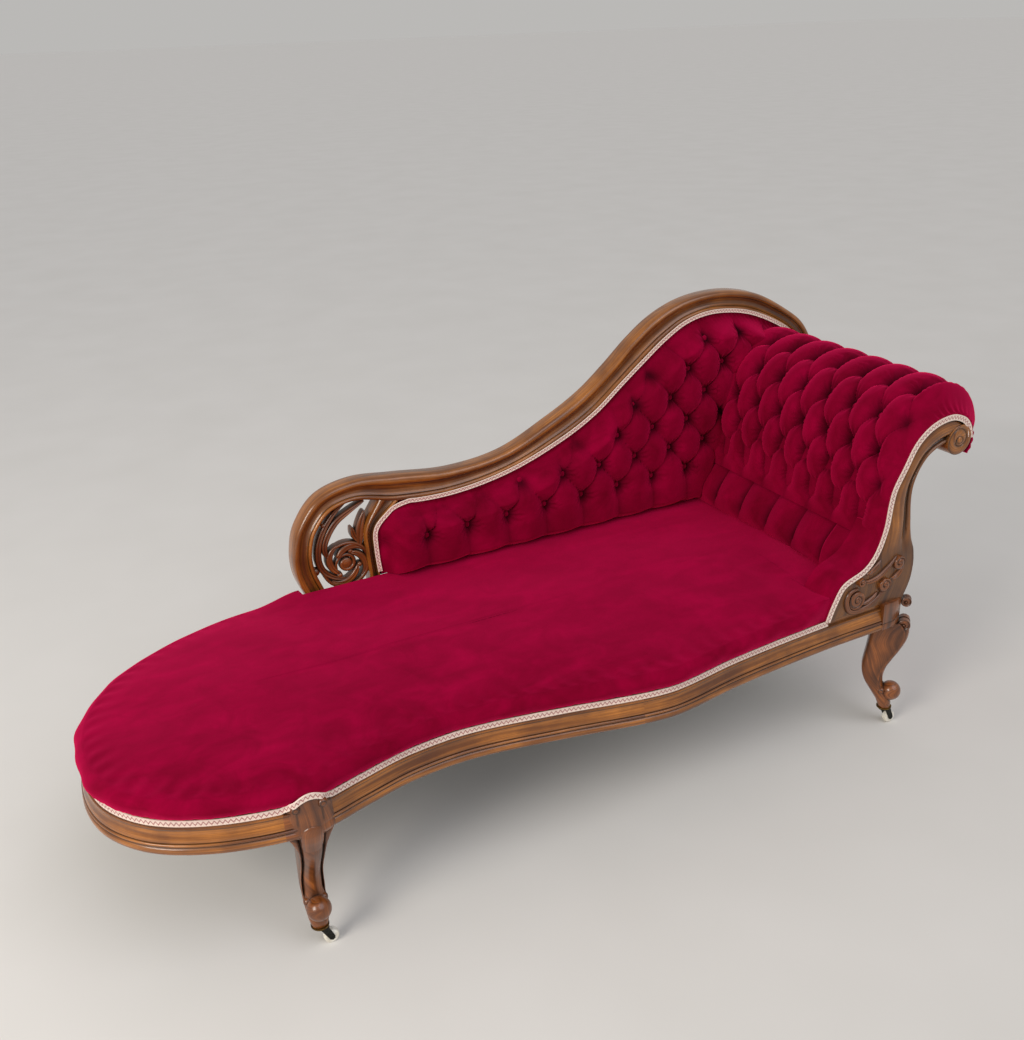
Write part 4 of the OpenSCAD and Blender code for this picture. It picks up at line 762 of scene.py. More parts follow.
@dataclass
class ShowRails:
    """The four moulded rails that show, worked on the seat's outline."""

    paint: Paint
    pieces: tuple[tuple[str, float, float], ...] = (
        ("front_rail_head", 1, 5), ("front_rail_foot", 5, 10),
        ("foot_rail_front", 11, 15), ("foot_rail_back", 15, 19))

    @staticmethod
    def section() -> Surface:
        """The rail's moulding from its foot up: torus, quirk, bead, ogee, fillet and rebate.

        Returns:
            Points (o, z) in millimetres, and the recess mask of each.
        """
        ogee = np.linspace(0, 1, 12)
        shares = np.vstack([
            [[-1, 0], [-0.20, 0]], arc(-0.13, 0.115, 0.13, 0.115, -90, 78, 11),
            [[-0.115, 0.235], [-0.115, 0.25]], arc(-0.105, 0.30, 0.075, 0.045, -80, 80, 8),
            [[-0.14, 0.355], [-0.14, 0.375]],
            np.stack([-0.085 - 0.15 * ease(ogee) - 0.02 * np.sin(np.pi * ogee), 0.385 + 0.34 * ogee], 1),
            [[-0.25, 0.735], [-0.205, 0.745], [-0.195, 0.77], [-0.21, 0.795], [-0.36, 0.80], [-0.36, 1], [-1, 1]]])
        z = shares[:, 1]
        # Painted shade in the two quirks and under the top fillet
        mask = 0.95 * (hump(z - 0.243, 0.02) + hump(z - 0.365, 0.018) + 0.8 * hump(z - 0.735, 0.016))
        mask[[0, 1, -2, -1]] = 0
        return shares * [RAIL_T, RAIL_H] + [0, RAIL_Z], np.clip(mask, 0, 1)

    def build(self) -> None:
        """Makes the four rails."""
        profile, mask = self.section()
        for name, lo, hi in self.pieces:
            rail = sweep(SEAT.even(lo, hi, 9.0), profile)
            Shape(f"{name}_wood").add(rail, mask).make(self.paint.show, name, Slot.SHOW, 24)


def turned(place: tuple[float, float, float], grid: Array) -> Array:
    """Returns points of a leg's own frame, turned and moved to its place."""
    x, y, turn = place
    c, s = math.cos(math.radians(turn)), math.sin(math.radians(turn))
    ahead, aside, up = np.moveaxis(grid, -1, 0)
    return np.stack([x + c * ahead - s * aside, y + s * ahead + c * aside, up], -1)


@dataclass
class FrontLeg:
    """A cabriole leg: a half-round boss down its front, ribs that flare to the rails, a toe ball.

    Its own frame has x forwards, y sideways and z up, from its castor's axis.
    Each row gives the height, the front of the boss, the back, the half width
    and the boss's half width.
    """

    paint: Paint
    name: str
    place: tuple[float, float, float]
    top: tuple[tuple[float, float, float, float, float], ...]
    corner: bool = False
    proud: float = 11.0
    rows: tuple[tuple[float, float, float, float, float], ...] = (
        (50, 13, -13, 15, 12), (61, 13.7, -18, 18, 13), (73, 11, -23, 20, 14), (89, 2, -33, 21.5, 15),
        (110, -8, -46, 22, 16.5), (133, -10, -56, 22, 16.8), (156, -5, -60, 21.5, 16.0),
        (179, 6, -58, 21.5, 15.6), (202, 18, -55, 22.5, 16.0), (227, 29, -52, 24.5, 17.4))

    def shaft(self) -> Surface:
        """The leg from its plate to the rail, a ring at each height.

        Half a ring runs round the boss, x = front - proud (1 - cos a) and
        y = b sin a, into a groove, over the rib and back along the side. Under
        the ball it turns into an oval.

        Returns:
            The grid and its recess mask.
        """
        z, front, back, wide, b = smooth(np.array(self.rows + self.top), 9).T[..., None]
        a = np.radians(np.linspace(0, 90, 9))
        rib, base = np.maximum(wide - b - 2.4, 0.6), front - self.proud
        x = np.concatenate([base + self.proud * np.cos(a), base + [-2.4, -0.2, 2.0, 2.2, 0.4, -3.5],
                            (base + back) / 2, back + [9, 2.5, 0, 0]], 1)
        y = np.concatenate([b * np.sin(a), b + 1.2, b + 2.4 + rib * [0.12, 0.38, 0.66, 0.90, 1],
                            b + 2.0 + rib, b + 0.5 + rib * 0.95, wide * [0.74, 0.46, 0]], 1)
        # Painted shade in the groove beside the boss and behind the rib
        mask = np.concatenate([0.7 * np.sin(a) ** 12, [0.97, 0.5], np.zeros(9)])
        mask[14] = 0.45
        middle = (front + back) / 2
        q = np.arctan2(y, x - middle)
        oval_x = middle + (front - back) / 2 * np.sign(np.cos(q)) * np.abs(np.cos(q)) ** 0.85
        oval_y = wide * np.abs(np.sin(q)) ** 0.85
        blend = ease((z - 98) / 22)
        x, y, mask = oval_x + (x - oval_x) * blend, oval_y + (y - oval_y) * blend, mask * blend
        x, y, mask = (np.concatenate([v, k * v[:, -2:0:-1]], 1) for v, k in ((x, 1), (y, -1), (mask, 1)))
        return turned(self.place, np.stack([x, y, z + 0 * x], -1)), mask

    def ball(self) -> list[Surface]:
        """The toe's ball and the small curls where the ribs end beside it."""
        return [(self.sphere([9.9, 0, 92.9], 23.0), 0.0),
                *(knob([-12.0, side * 16.0, 97], 8.5, [0, side, 0], 5.4, 8, 26, 4) for side in (-1, 1))]

    def shield(self) -> Surface:
        """The carved shield over the rails, from the gimp's arch to the flared ribs.

        Across it s runs from -1 to 1. Its face stands before the moulding by
        k (1 - |s|^1.6), and its top rises in an arch, (1 - s^2)^1.5.

        Returns:
            The grid and its recess mask.
        """
        s = np.linspace(-1, 1, 41)[None]
        share = np.linspace(0, 1, 40)[:, None]
        top, foot = 333 + 25 * (1 - s**2) ** 1.5, 271 + 13 * s**2
        z = foot + (top - foot) * share
        moulding = np.interp(z, [274, 281, 287, 294, 297, 302, 320, 330, 345, 366],
                             [29, 34.5, 37, 35.5, 33, 34, 30, 27.6, 28, 29])
        ridge = np.interp(z, [274, 285, 320, 345, 358, 366], [36, 43, 44, 43, 41, 38])
        # The outline runs back to each side of the leg's middle
        x = moulding + (ridge - moulding) * (1 - np.abs(s) ** 1.6) - 5.0 * np.abs(s) ** 3
        front = np.stack(np.broadcast_arrays(x, LEG_W * s, z), -1)
        back = front[:, ::-1].copy()
        back[..., 0] = np.minimum(back[..., 0] - 3, 24)
        # Painted shade along the carved lines, under the arched top edge and towards the sides
        mask = (0.8 * hump(np.abs(s) - 0.52, 0.05) * ease((z - 300) / 12) + 0.6 * hump(1 - share, 0.04)
                + 0.35 * ease((np.abs(s) - 0.75) / 0.25))
        return np.concatenate([front, back], 1), np.clip(mask, 0, 0.9)

    def nose(self) -> Surface:
        """The rounded upper end of the boss, in front of the shield.

        Returns:
            The grid and its recess mask.
        """
        tip = 286 + 17 * np.sin(np.linspace(0, np.pi / 2 - 0.02, 16))
        z = np.concatenate([np.linspace(240, 284, 14), tip])[:, None]
        round_ = np.sqrt(np.clip(1 - (np.maximum(z - 286, 0) / 17) ** 2, 0, 1))
        wide = np.interp(z, [240, 257, 275, 303], [18.4, 20.6, 21.2, 21.2]) * round_
        front = np.interp(z, [240, 257, 268, 283, 303], [33, 39.5, 44, 48, 48]) - 5 * (1 - round_)
        a = np.radians(np.linspace(-90, 90, 19))[None]
        x = front - (self.proud + 2) * (1 - np.cos(a)) * (0.3 + 0.7 * round_)
        grid = np.stack([x, wide * np.sin(a), z + 0 * x], -1)
        back = grid[:, ::-1].copy()
        back[..., 0] = back[..., 0].min(1, keepdims=True) - 6
        # Painted shade at the boss's sides, and its hidden back painted dark
        mask = 0.85 * np.abs(np.sin(a)) ** 14 + 0 * z
        return np.concatenate([grid, back], 1), np.concatenate([mask, mask * 0 + 0.9], 1)

    @staticmethod
    def sphere(centre: Any, r: float) -> Array:
        """Returns a closed ball, 20 rings by 36, about the centre."""
        e = np.linspace(-np.pi / 2 + 1e-3, np.pi / 2 - 1e-3, 20)[:, None]
        a = np.linspace(0, 2 * np.pi, 36, endpoint=False)
        return centre + r * np.stack([np.cos(e) * np.cos(a), np.cos(e) * np.sin(a), np.sin(e) + 0 * a], -1)

    def volutes(self) -> list[Surface]:
        """The volutes: at the shield's shoulders, or on both cheeks of the corner leg's knee and cap."""
        if not self.corner:
            return [knob([37.5, side * 24.0, 342.0], 8.5, [1, 0, 0], 5.2, 10, 30, 5) for side in (-1, 1)]
        made: list[Surface] = []
        for x, z, r, y in ((20.0, 275.0, 14.0, 13.0), (19.0, 331.0, 11.5, 6.0)):
            for side in (-1, 1):
                face, dark = volute([x, z], r, 0, 12, 1.3, 3.0, side, 18, 48)
                made.append((np.stack([face[..., 0], side * (y - face[..., 1] + 2.0), face[..., 2]], -1), dark))
        return made

    def head(self) -> Surface:
        """The leg's head between the rails, or the canted corner at the head end."""
        if not self.corner:
            profile, mask = ShowRails.section()
            return sweep(SEAT.even(10, 11, 6.0), profile), mask
        cant, (x1, y0), x0 = RAIL_T * 0.95, SEAT.knots[0], SEAT.knots[1, 0]
        inner = y0 + RAIL_T
        plan = np.array([[x0, inner], [x0, y0], [x1 - cant, y0], [x1 - cant * 0.3, y0 + cant * 0.25],
                         [x1, y0 + cant], [x1, inner]])
        levels = np.array([[280, 1.6], [281.6, 0], [286, 0], [294, 0.6], [296, 2.2], [298, 0.6], [330, 0.4],
                           [333, 0], [343.5, 0], [345, 1.2]])
        middle = plan.mean(0)
        grid = np.stack([np.column_stack([middle + (plan - middle) * (1 - inset / 30), np.full(len(plan), z)])
                         for z, inset in levels])
        # Painted shade in the groove at the bead, 296 mm up
        return grid, 0.8 * hump(levels[:, :1] - 296, 1.5)

    def build(self) -> None:
        """Makes the leg."""
        shape = Shape(f"{self.name}_wood").add(*self.shaft()).add(*self.head())
        for grid, dark in self.ball() + self.volutes() + ([] if self.corner else [self.shield(), self.nose()]):
            shape.add(turned(self.place, grid), dark)
        shape.make(self.paint.carved, self.name, Slot.SHOW, 44)


@dataclass
class BackLeg:
    """A plain back leg, square with soft corners and raked, with its head in the back rail."""

    paint: Paint
    name: str
    place: tuple[float, float, float]
    span: tuple[float, float]
    foot_z: float = 50.0
    knots: tuple[tuple[float, float, float, float], ...] = (
        (0, 1, 0.78, 0.78), (0.10, 0.97, 0.80, 0.80), (0.35, 0.85, 0.80, 0.84),
        (0.70, 0.79, 0.81, 0.96), (0.90, 0.76, 0.79, 1.12), (1.0, 0.73, 0.77, 1.22))

    def build(self) -> None:
        """Makes the leg: each ring is |x|^n + |y|^n = 1 with n 5, at the widths of its height."""
        h, reach, deep, wide = smooth(np.array(self.knots), 6).T[..., None]
        a = np.linspace(0, 2 * np.pi, 40, endpoint=False)
        c, s = np.cos(a), np.sin(a)
        r = (np.abs(c) ** 5 + np.abs(s) ** 5) ** -0.2
        z = self.foot_z + h * (RAIL_Z - self.foot_z) + 0 * a
        grid = np.stack([LEG_W * (reach - 1) + r * c * deep * 22, r * s * wide * 22, z], -1)
        top = np.array([[-1, 0], [-0.08, 0], [-0.05, 0.03], [-0.05, 0.97], [-0.08, 1], [-1, 1]])
        head = sweep(SEAT.even(*self.span, 10.0), top * [RAIL_T, RAIL_H] + [0, RAIL_Z])
        shape = Shape(f"{self.name}_wood").add(turned(self.place, grid)).add(head)
        shape.make(self.paint.show, self.name, Slot.SHOW, 40)


def section_of(front: list[Any], rear: Any, *creases: tuple[float, float, float]) -> Surface:
    """Joins the runs of a section and paints shade in the creases of its front.

    Args:
        front: runs of points (share of width, share of depth).
        rear: points behind.
        creases: depth, place across and width of each.

    Returns:
        The section's points and their recess mask.
    """
    section = np.vstack([*front, rear])
    mask = np.clip(sum(depth * hump(section[:, 0] - s, width) for depth, s, width in creases), 0, 1)
    mask[-len(rear):] = 0
    return section, mask


def moulded_section() -> Surface:
    """Section of crest and upright: outer torus, quirk, hollow, inner bead, flat behind."""
    return section_of([
        smooth([[0, 0.40], [0.015, 0.24], [0.06, 0.10], [0.13, 0.02], [0.21, 0.0], [0.29, 0.03], [0.335, 0.11]], 3),
        [[0.35, 0.19]], smooth([[0.375, 0.20], [0.45, 0.25], [0.56, 0.27], [0.67, 0.235], [0.755, 0.15]], 3),
        [[0.77, 0.19]], smooth([[0.785, 0.12], [0.83, 0.05], [0.89, 0.03], [0.95, 0.06], [1, 0.16]], 3)],
        [[1, 0.94], [0.985, 0.985], [0.95, 1], [0.08, 1], [0.02, 0.96], [0, 0.88]],
        (0.95, 0.355, 0.018), (0.9, 0.77, 0.014), (0.35, 0.56, 0.15))


def broad_section() -> Surface:
    """Section of the front post: thin fillet, hollow in painted shade, broad rounded face, inner fillet."""
    return section_of([
        smooth([[0, 0.30], [0.02, 0.16], [0.06, 0.08], [0.11, 0.07], [0.145, 0.12]], 3),
        smooth([[0.165, 0.22], [0.215, 0.28], [0.27, 0.23]], 3),
        smooth([[0.285, 0.12], [0.36, 0.03], [0.50, 0.0], [0.66, 0.02], [0.78, 0.09]], 4),
        smooth([[0.80, 0.19], [0.84, 0.22], [0.875, 0.17]], 2),
        smooth([[0.89, 0.09], [0.94, 0.06], [1, 0.14]], 3)],
        [[1, 0.97], [0.97, 1], [0.04, 1], [0, 0.97]],
        (0.95, 0.215, 0.055), (0.9, 0.838, 0.03))


# The upright's foot, and its left and right edges in X and Z
STILE_Z = RAIL_TOP + 34.3
STILE_MID = np.array([share_x(0.353), share_z(0.50)]), np.array([share_x(0.353), share_z(0.56)])
STILE_LEFT = Line([[STILE_X, STILE_Z], *STILE_MID, CREST_INNER.at(6.5)[0] + [0, 2]])
STILE_RIGHT = Line([[STILE_X + STILE_W, STILE_Z], STILE_MID[0] + [STILE_W * 0.9, 0],
                    STILE_MID[1] + [STILE_W * 1.1, 0], CREST_INNER.at(7)[0] + [0, 2]])


@dataclass
class BackFrame:
    """The crest that sweeps from the pierced scroll to the head end, and its upright."""

    paint: Paint

    def build(self) -> None:
        """Makes the crest, with a rounded head-end tip, and the upright."""
        section, mask = moulded_section()
        crest = band(CREST_OUTER, CREST_INNER, CREST_OUTER.even(0, CREST_OUTER.last, 8.0), section, BACK_Y, BACK_T)
        # The tip rounds off over its last three rings, drawn in to its own middle
        for back, keep in ((1, 0.78), (2, 0.93), (3, 0.985)):
            middle = crest[-back].mean(0)
            crest[-back] = middle + (crest[-back] - middle) * keep
        upright = band(STILE_LEFT, STILE_RIGHT, np.linspace(0, 3, 26), section, BACK_Y, BACK_T)
        for name, grid, node in (("crest_wood", crest, "back_frame"), ("upright_wood", upright, "back_upright")):
            Shape(name).add(grid, mask).make(self.paint.show, node, Slot.SHOW, 28)


@dataclass
class PiercedScroll:
    """The pierced whirl in the foot-end bay, carved in the round on both sides."""

    paint: Paint
    centre: tuple[float, float] = (share_x(0.3295), share_z(0.478))
    r: float = 56.0
    thick: float = 22.0
    blades: tuple[Any, ...] = (
        ((0.95, 2.52), (0.27, 2.20), (-0.32, 1.82), (-0.77, 1.16), (-0.84, 0.66), (-0.62, 0.27)),
        ((0.30, 2.75), (-0.42, 2.16), (-0.98, 1.30), (-1.14, 0.48), (-0.98, -0.11), (-0.57, -0.48), (-0.05, -0.68)))
    leaves: tuple[Any, ...] = (
        (0.40, ((0.58, 0.55), (0.64, 1.05), (0.72, 1.50), (0.92, 2.10))),
        (0.24, ((0.62, 0.80), (0.42, 1.12), (0.34, 1.50))),
        (0.24, ((0.66, 0.90), (0.92, 1.12), (1.06, 1.00))))
    beads: tuple[Any, ...] = (
        (-0.80, 1.82, 0.11), (-1.29, -0.09, 0.17), (0.44, -1.06, 0.17), (-0.55, 0.62, 0.10),
        (-0.32, -0.46, 0.13), (0.55, -0.18, 0.12), (0.20, 0.50, 0.12), (0, 0, 0.26))

    def ribbon(self, shape: Shape, path: Array, width: float, tip: float, rise: float, groove: float = 0.0) -> None:
        """Adds a strip that swells to its width in the middle, rounded before and behind.

        Args:
            shape: gathers it.
            path: centre line, in shares of the whirl's radius.
            width: full width in the middle, in the same shares.
            tip: width at the ends.
            rise: height of its middle in millimetres.
            groove: share of the rise taken by a middle groove.
        """
        y = BACK_Y + (BACK_T - self.thick) / 2
        grid, mask = strip(self.centre + path * self.r, width * self.r, tip * self.r, rise, y + rise * 0.7,
                           y + self.thick, groove)
        half = grid.shape[1] // 2
        grid[:, half:, 1] = 2 * y + self.thick - grid[:, :half, 1][:, ::-1]
        shape.add(grid, mask)

    def build(self) -> None:
        """Makes the carving."""
        shape = Shape("pierced_scroll_wood")
        for line in self.blades:
            self.ribbon(shape, smooth(line, 7), 0.29, 0.09, 6.5, 0.45)
        for width, line in self.leaves:
            self.ribbon(shape, smooth(line, 7), width, 0.09, 6.0, 0.5)
        for a0 in (68, -20, 228, 140):
            self.ribbon(shape, spiral(0.5, 0.90, a0, -118, 26), 0.30, 0.10, 6.0, 0.3)
        self.ribbon(shape, spiral(0.88, 1.0, 118, -285, 60), 0.18, 0.12, 5.0)
        self.ribbon(shape, spiral(0.09, 0.46, 0, 560, 60, False), 0.17, 0.12, 8.0)
        for x, z, r in self.beads:
            at = stand(self.centre + np.array([x, z]) * self.r, BACK_Y + BACK_T / 2)
            for way in (-1, 1):
                shape.add(dome(at + [0, way * 4, 0], r * self.r, [0, way, 0], 7.5, 8, 24, 5))
        shape.make(self.paint.carved, "scroll_carving", Slot.CARVED, 40)


@dataclass
class FrontPost:
    """The S-shaped post at the head end with its scroll, and the carving on its corner.

    The carving's points are shares of its radius from its corner. Each strip
    has its path, points to a knot, width, width at the tips in millimetres,
    rise and groove; each volute its place, radius and turns.
    """

    paint: Paint
    corner: tuple[float, float] = (share_x(0.799), share_z(0.408))
    scroll: tuple[float, float] = (share_x(0.928), share_z(0.752))
    r: float = 27.0
    strips: tuple[Any, ...] = (
        (((0.10, 1.0), (-0.75, 0.78), (-1.0, 0.0), (-0.62, -0.80), (0.30, -1.05), (1.6, -0.78), (2.8, -0.02),
          (3.25, 0.85)), 10, 0.50, 6.48, 8.0, 0.25),
        (((0.6, -0.62), (1.5, -0.42), (2.35, 0.12)), 10, 0.46, 2.5, 6.0, 0.4),
        (((0.5, 1.5), (1.3, 1.35), (2.2, 1.5), (3.1, 2.1), (4.0, 2.9)), 8, 0.55, 3.0, 6.5, 0.5),
        (((0.9, 2.0), (1.5, 2.3), (2.3, 3.0)), 8, 0.55, 3.0, 6.5, 0.5),
        (((3.6, 0.9), (4.3, 1.2), (4.9, 1.9)), 8, 0.55, 3.0, 6.5, 0.5))
    volutes: tuple[Any, ...] = (
        (0, 0, 0.78, 1.6), (2.95, 0.63, 0.62, 1.3), (0.37, 1.52, 0.36, 1.0), (4.3, 2.3, 0.6, 1.2))

    def build(self) -> None:
        """Makes the post and its carving."""
        section, mask = broad_section()
        t = POST_OUTER.even(0, POST_OUTER.last, 6.0)
        relief = ease((t - 3) / 2)
        grid = band(POST_OUTER, POST_INNER, t, section, POST_Y, POST_T, relief)
        # Its flat lower run is painted half dark on its front
        flat = 0.5 * (1 - relief)[:, None] * (section[:, 1] < 0.5)
        shape = Shape("front_post_wood").add(grid, np.maximum(mask * relief[:, None], flat))
        shape.add(*volute(self.scroll, 34.0, POST_Y + 0.8, POST_T - 1, 1.7, 5.0, -1))
        shape.make(self.paint.show, "head_front_post", Slot.SHOW, 28)
        self.carving().make(self.paint.carved, "post_carving", Slot.CARVED, 40)

    def carving(self) -> Shape:
        """Returns the corner's C-scroll, its leaves and its volutes."""
        shape = Shape("post_carving_wood")
        y = POST_Y - GAP
        for line, per, width, tip, rise, groove in self.strips:
            path = self.corner + smooth(line, per) * self.r
            shape.add(*strip(path, self.r * width, tip, rise, y, y + 1.5, groove))
        for x, z, r, turns in self.volutes:
            at = self.corner + np.array([x, z]) * self.r
            shape.add(*volute(at, r * self.r, y - 4.5, 5.5, turns, 4.5, 1, 22, 56))
        return shape


# ---------------------------------------------------------------- upholstery


def quilting(u: Array, v: Array, chain_u: Array, chain_v: Array) -> tuple[Array, Array]:
    """Deep buttoning in diamonds over a staggered net of buttons.

    Buttons lie where v is a whole number and u - v / 2 is whole. Inside the
    field the swell is |sin(pi (u + v/2)) sin(pi (u - v/2))|^1.25, and
    sin^2 in a pleat; both are then raised to 0.42. Under the first row and
    above the chain of last buttons it becomes pleats that run from each outer
    button to the edge.

    Args:
        u: place across, in pitches.
        v: place up, in rows.
        chain_u: columns of the last buttons, from left to right.
        chain_v: their rows.

    Returns:
        The swell, 0 in a crease and 1 between them, and the nearness of a button.
    """
    inside = np.maximum(v, 0)
    field = np.abs(np.sin(np.pi * (u + inside / 2)) * np.sin(np.pi * (u - inside / 2))) ** 1.25
    k = np.clip(np.searchsorted(chain_u, u) - 1, 0, len(chain_u) - 2)
    lo, hi = chain_u[k], chain_u[k + 1]
    w = np.clip((u - lo) / (hi - lo), 0, 1)
    level = chain_v[k] + (chain_v[k + 1] - chain_v[k]) * w
    rise = np.where(chain_v[k] == chain_v[k + 1], 1.0, np.clip((v - level) / 0.4, 0, 1))
    q = np.where(v > level, np.sin(np.pi * w) ** 2 * rise, field) ** 0.42
    # Nearness of the closest button, exp(-(across / 0.19)^2 - (up / 0.30)^2)
    r0 = np.clip(np.round(v), 0, None)
    near = np.zeros_like(q)
    for row in (r0, r0 + 1, np.maximum(r0 - 1, 0)):
        col = np.round(u - (row % 2) / 2) + (row % 2) / 2
        top = np.interp(col, chain_u, chain_v)
        near = np.maximum(near, np.exp(-(((u - col) / 0.19) ** 2 + ((v - row) / 0.30) ** 2)) * (row <= top + 0.3))
    return q, near


def puckers(u: Array, v: Array, near: Array, slant: float) -> Array:
    """Returns folds of height 1 that run out from each button, most where it is half near.

    Args:
        u: place across, in pitches.
        v: place up, in rows.
        near: nearness of a button.
        slant: pitch over row.
    """
    angle = np.arctan2(v - np.round(v), (u - np.round(u * 2) / 2) * slant)
    return np.sin(11 * angle + 2 * np.sin(7 * u)) * near * (1 - near) * 4


def pillow(line: Line, t: Array, out: Array, y: Array, under: float) -> Array:
    """Returns a closed padding over a path in X and Z.

    Args:
        line: the path.
        t: places on it.
        out: heights above it, a row for each place.
        y: places across the couch.
        under: height of its flat underside above the path.
    """
    base = np.stack([line.beside(t, under)] * 2, 1)
    return np.concatenate([stand(line.raised(t, out), y), stand(base, y[[-1, 0]])], 1)


def covered_button(shape: Shape, place: Any, way: Any) -> None:
    """Adds a covered button, 14.6 mm across: a low dome with a tucked edge.

    Args:
        shape: gathers it.
        place: bottom of its pocket.
        way: way that it faces.
    """
    way = np.asarray(way, float) / np.linalg.norm(way)
    shape.add(dome(np.asarray(place) + way * 1.2, 7.3, way, 4.6, 7, 20, 1.4))


def head_crown(t: Any) -> Any:
    """Returns the crown of the head end's padding above the posts' edge, at t on its path."""
    return 62 * (0.06 + 1.02 * ease((t - 1.6) / 6.4)) * (1 - 0.8 * ease((t - 9.7) / 1.6))


@dataclass
class HeadPad:
    """The buttoned padding of the head end, up the posts and round the roll."""

    paint: Paint
    pitch: float = 78.0
    row: float = 66.0
    tuft: float = 27.0
    y0: float = POST_Y
    y1: float = BACK_Y - GAP
    t0: float = 0.38

    def __post_init__(self) -> None:
        """Measures the path, so that lengths give places on it."""
        self.table = np.linspace(0, HEAD.last, 1200)
        self.run = lengths(HEAD.at(self.table))
        self.s0, self.s1 = np.interp([self.t0, HEAD.last - 0.6], self.table, self.run)
        self.start = self.row * 1.18
        self.mid = (self.y0 + self.y1) / 2

    def out(self, s: Array, y: Array) -> tuple[Array, Array]:
        """The padding's height above the path: crown times edge swell, less the tufting.

        Args:
            s: length up the path.
            y: place across the couch.

        Returns:
            The height in millimetres, and the recess mask.
        """
        t = np.interp(s, self.run, self.table)
        side = np.minimum(y - self.y0, self.y1 - y + 46)
        swell = ease((side + 4) / 60) * (0.72 + 0.28 * ease((self.y1 - y) / 22))
        v, u = (s - self.start) / self.row, (y - self.mid) / self.pitch
        q, near = quilting(u, np.minimum(v, 4.0), np.array([-6.0, 6.0]), np.array([40.0, 40.0]))
        amount = ease((side - 10) / 48) * ease((s - self.s0) / 40) * ease((HEAD.last - t + 0.2) / 1.6)
        fade = 1 - 0.45 * ease((v - 4.2) / 1.5)
        crown = head_crown(t) + 12 * (1 - ease((t - 2.5) / 4)) * ease((s - self.s0) / 36)
        out = 6 + (crown - 6) * swell - (self.tuft + 5) * amount * fade * (1 - q) * (0.34 + 0.66 * near ** 0.6)
        out = out + 1.7 * puckers(u, v, near, self.pitch / self.row) * ease((side - 14) / 40)
        gather = 1.6 * np.sin(2 * np.pi * s / 15) * hump(side - 2, 16) * ease((t - 5) / 2)
        # Painted shade in the creases and round the buttons, fading where the tufting fades
        mask = np.clip((0.30 * (1 - q) ** 3 + 0.85 * near ** 1.6) * ease((side - 8) / 40) * fade, 0, 0.95)
        # Between the posts it may sink below their edge
        floor = np.where((y < POST_Y + POST_T + 20) | (y > BACK_Y - POST_T - 20), 3.0, -38.0)
        return np.maximum(out + gather, floor), mask

    def build(self) -> None:
        """Makes the pad and its buttons."""
        s = np.linspace(self.s0, self.s1, 250)
        y = np.linspace(self.y0, self.y1, 230)
        out, mask = self.out(s[:, None] + 0 * y, y + 0 * s[:, None])
        grid = pillow(HEAD, np.interp(s, self.run, self.table), out, y, 1.4)
        pad = Shape("head_pad_velvet").add(grid, mask).make(self.paint.velvet, "head_pad", Slot.VELVET)
        shape = Shape("head_buttons_velvet")
        for r in range(5):
            length = self.start + r * self.row
            t = np.interp(length, self.run, self.table)
            for c in range(-3, 4):
                across = self.mid + (c + (r % 2) / 2) * self.pitch
                if self.y0 + self.pitch < across < self.y1 - self.pitch / 2:
                    deep = self.out(np.array([length]), np.array([across]))[0]
                    covered_button(shape, stand(HEAD.beside(t, deep)[0], across), stand(HEAD.side(t)[0], 0))
        shape.make(self.paint.velvet, "head_buttons", Slot.BUTTON, 50)


# The fluted border stands on the seat, under the foot of the head pad
PAD_FOOT = HEAD.at(HEAD_FOOT)[0]
LUMBAR_Z = SEAT_TOP + WIDE_GAP
LUMBAR_H = PAD_FOOT[1] - 0.9 - LUMBAR_Z
LUMBAR_DEEP = min(LUMBAR_D, PAD_FOOT[0] + 60.8 - GAP - LUMBAR_X)


def lumbar_point(s: Array) -> Array:
    """Returns points of the fluted border's section in X and Z, for shares of its depth and height."""
    x = LUMBAR_X + LUMBAR_DEEP * s[..., 0] / 1.02
    past = np.maximum(0, x - PAD_FOOT[0])
    return np.stack([x, LUMBAR_Z + LUMBAR_H * s[..., 1] / 0.97 - 0.36 * past * s[..., 1]], -1)


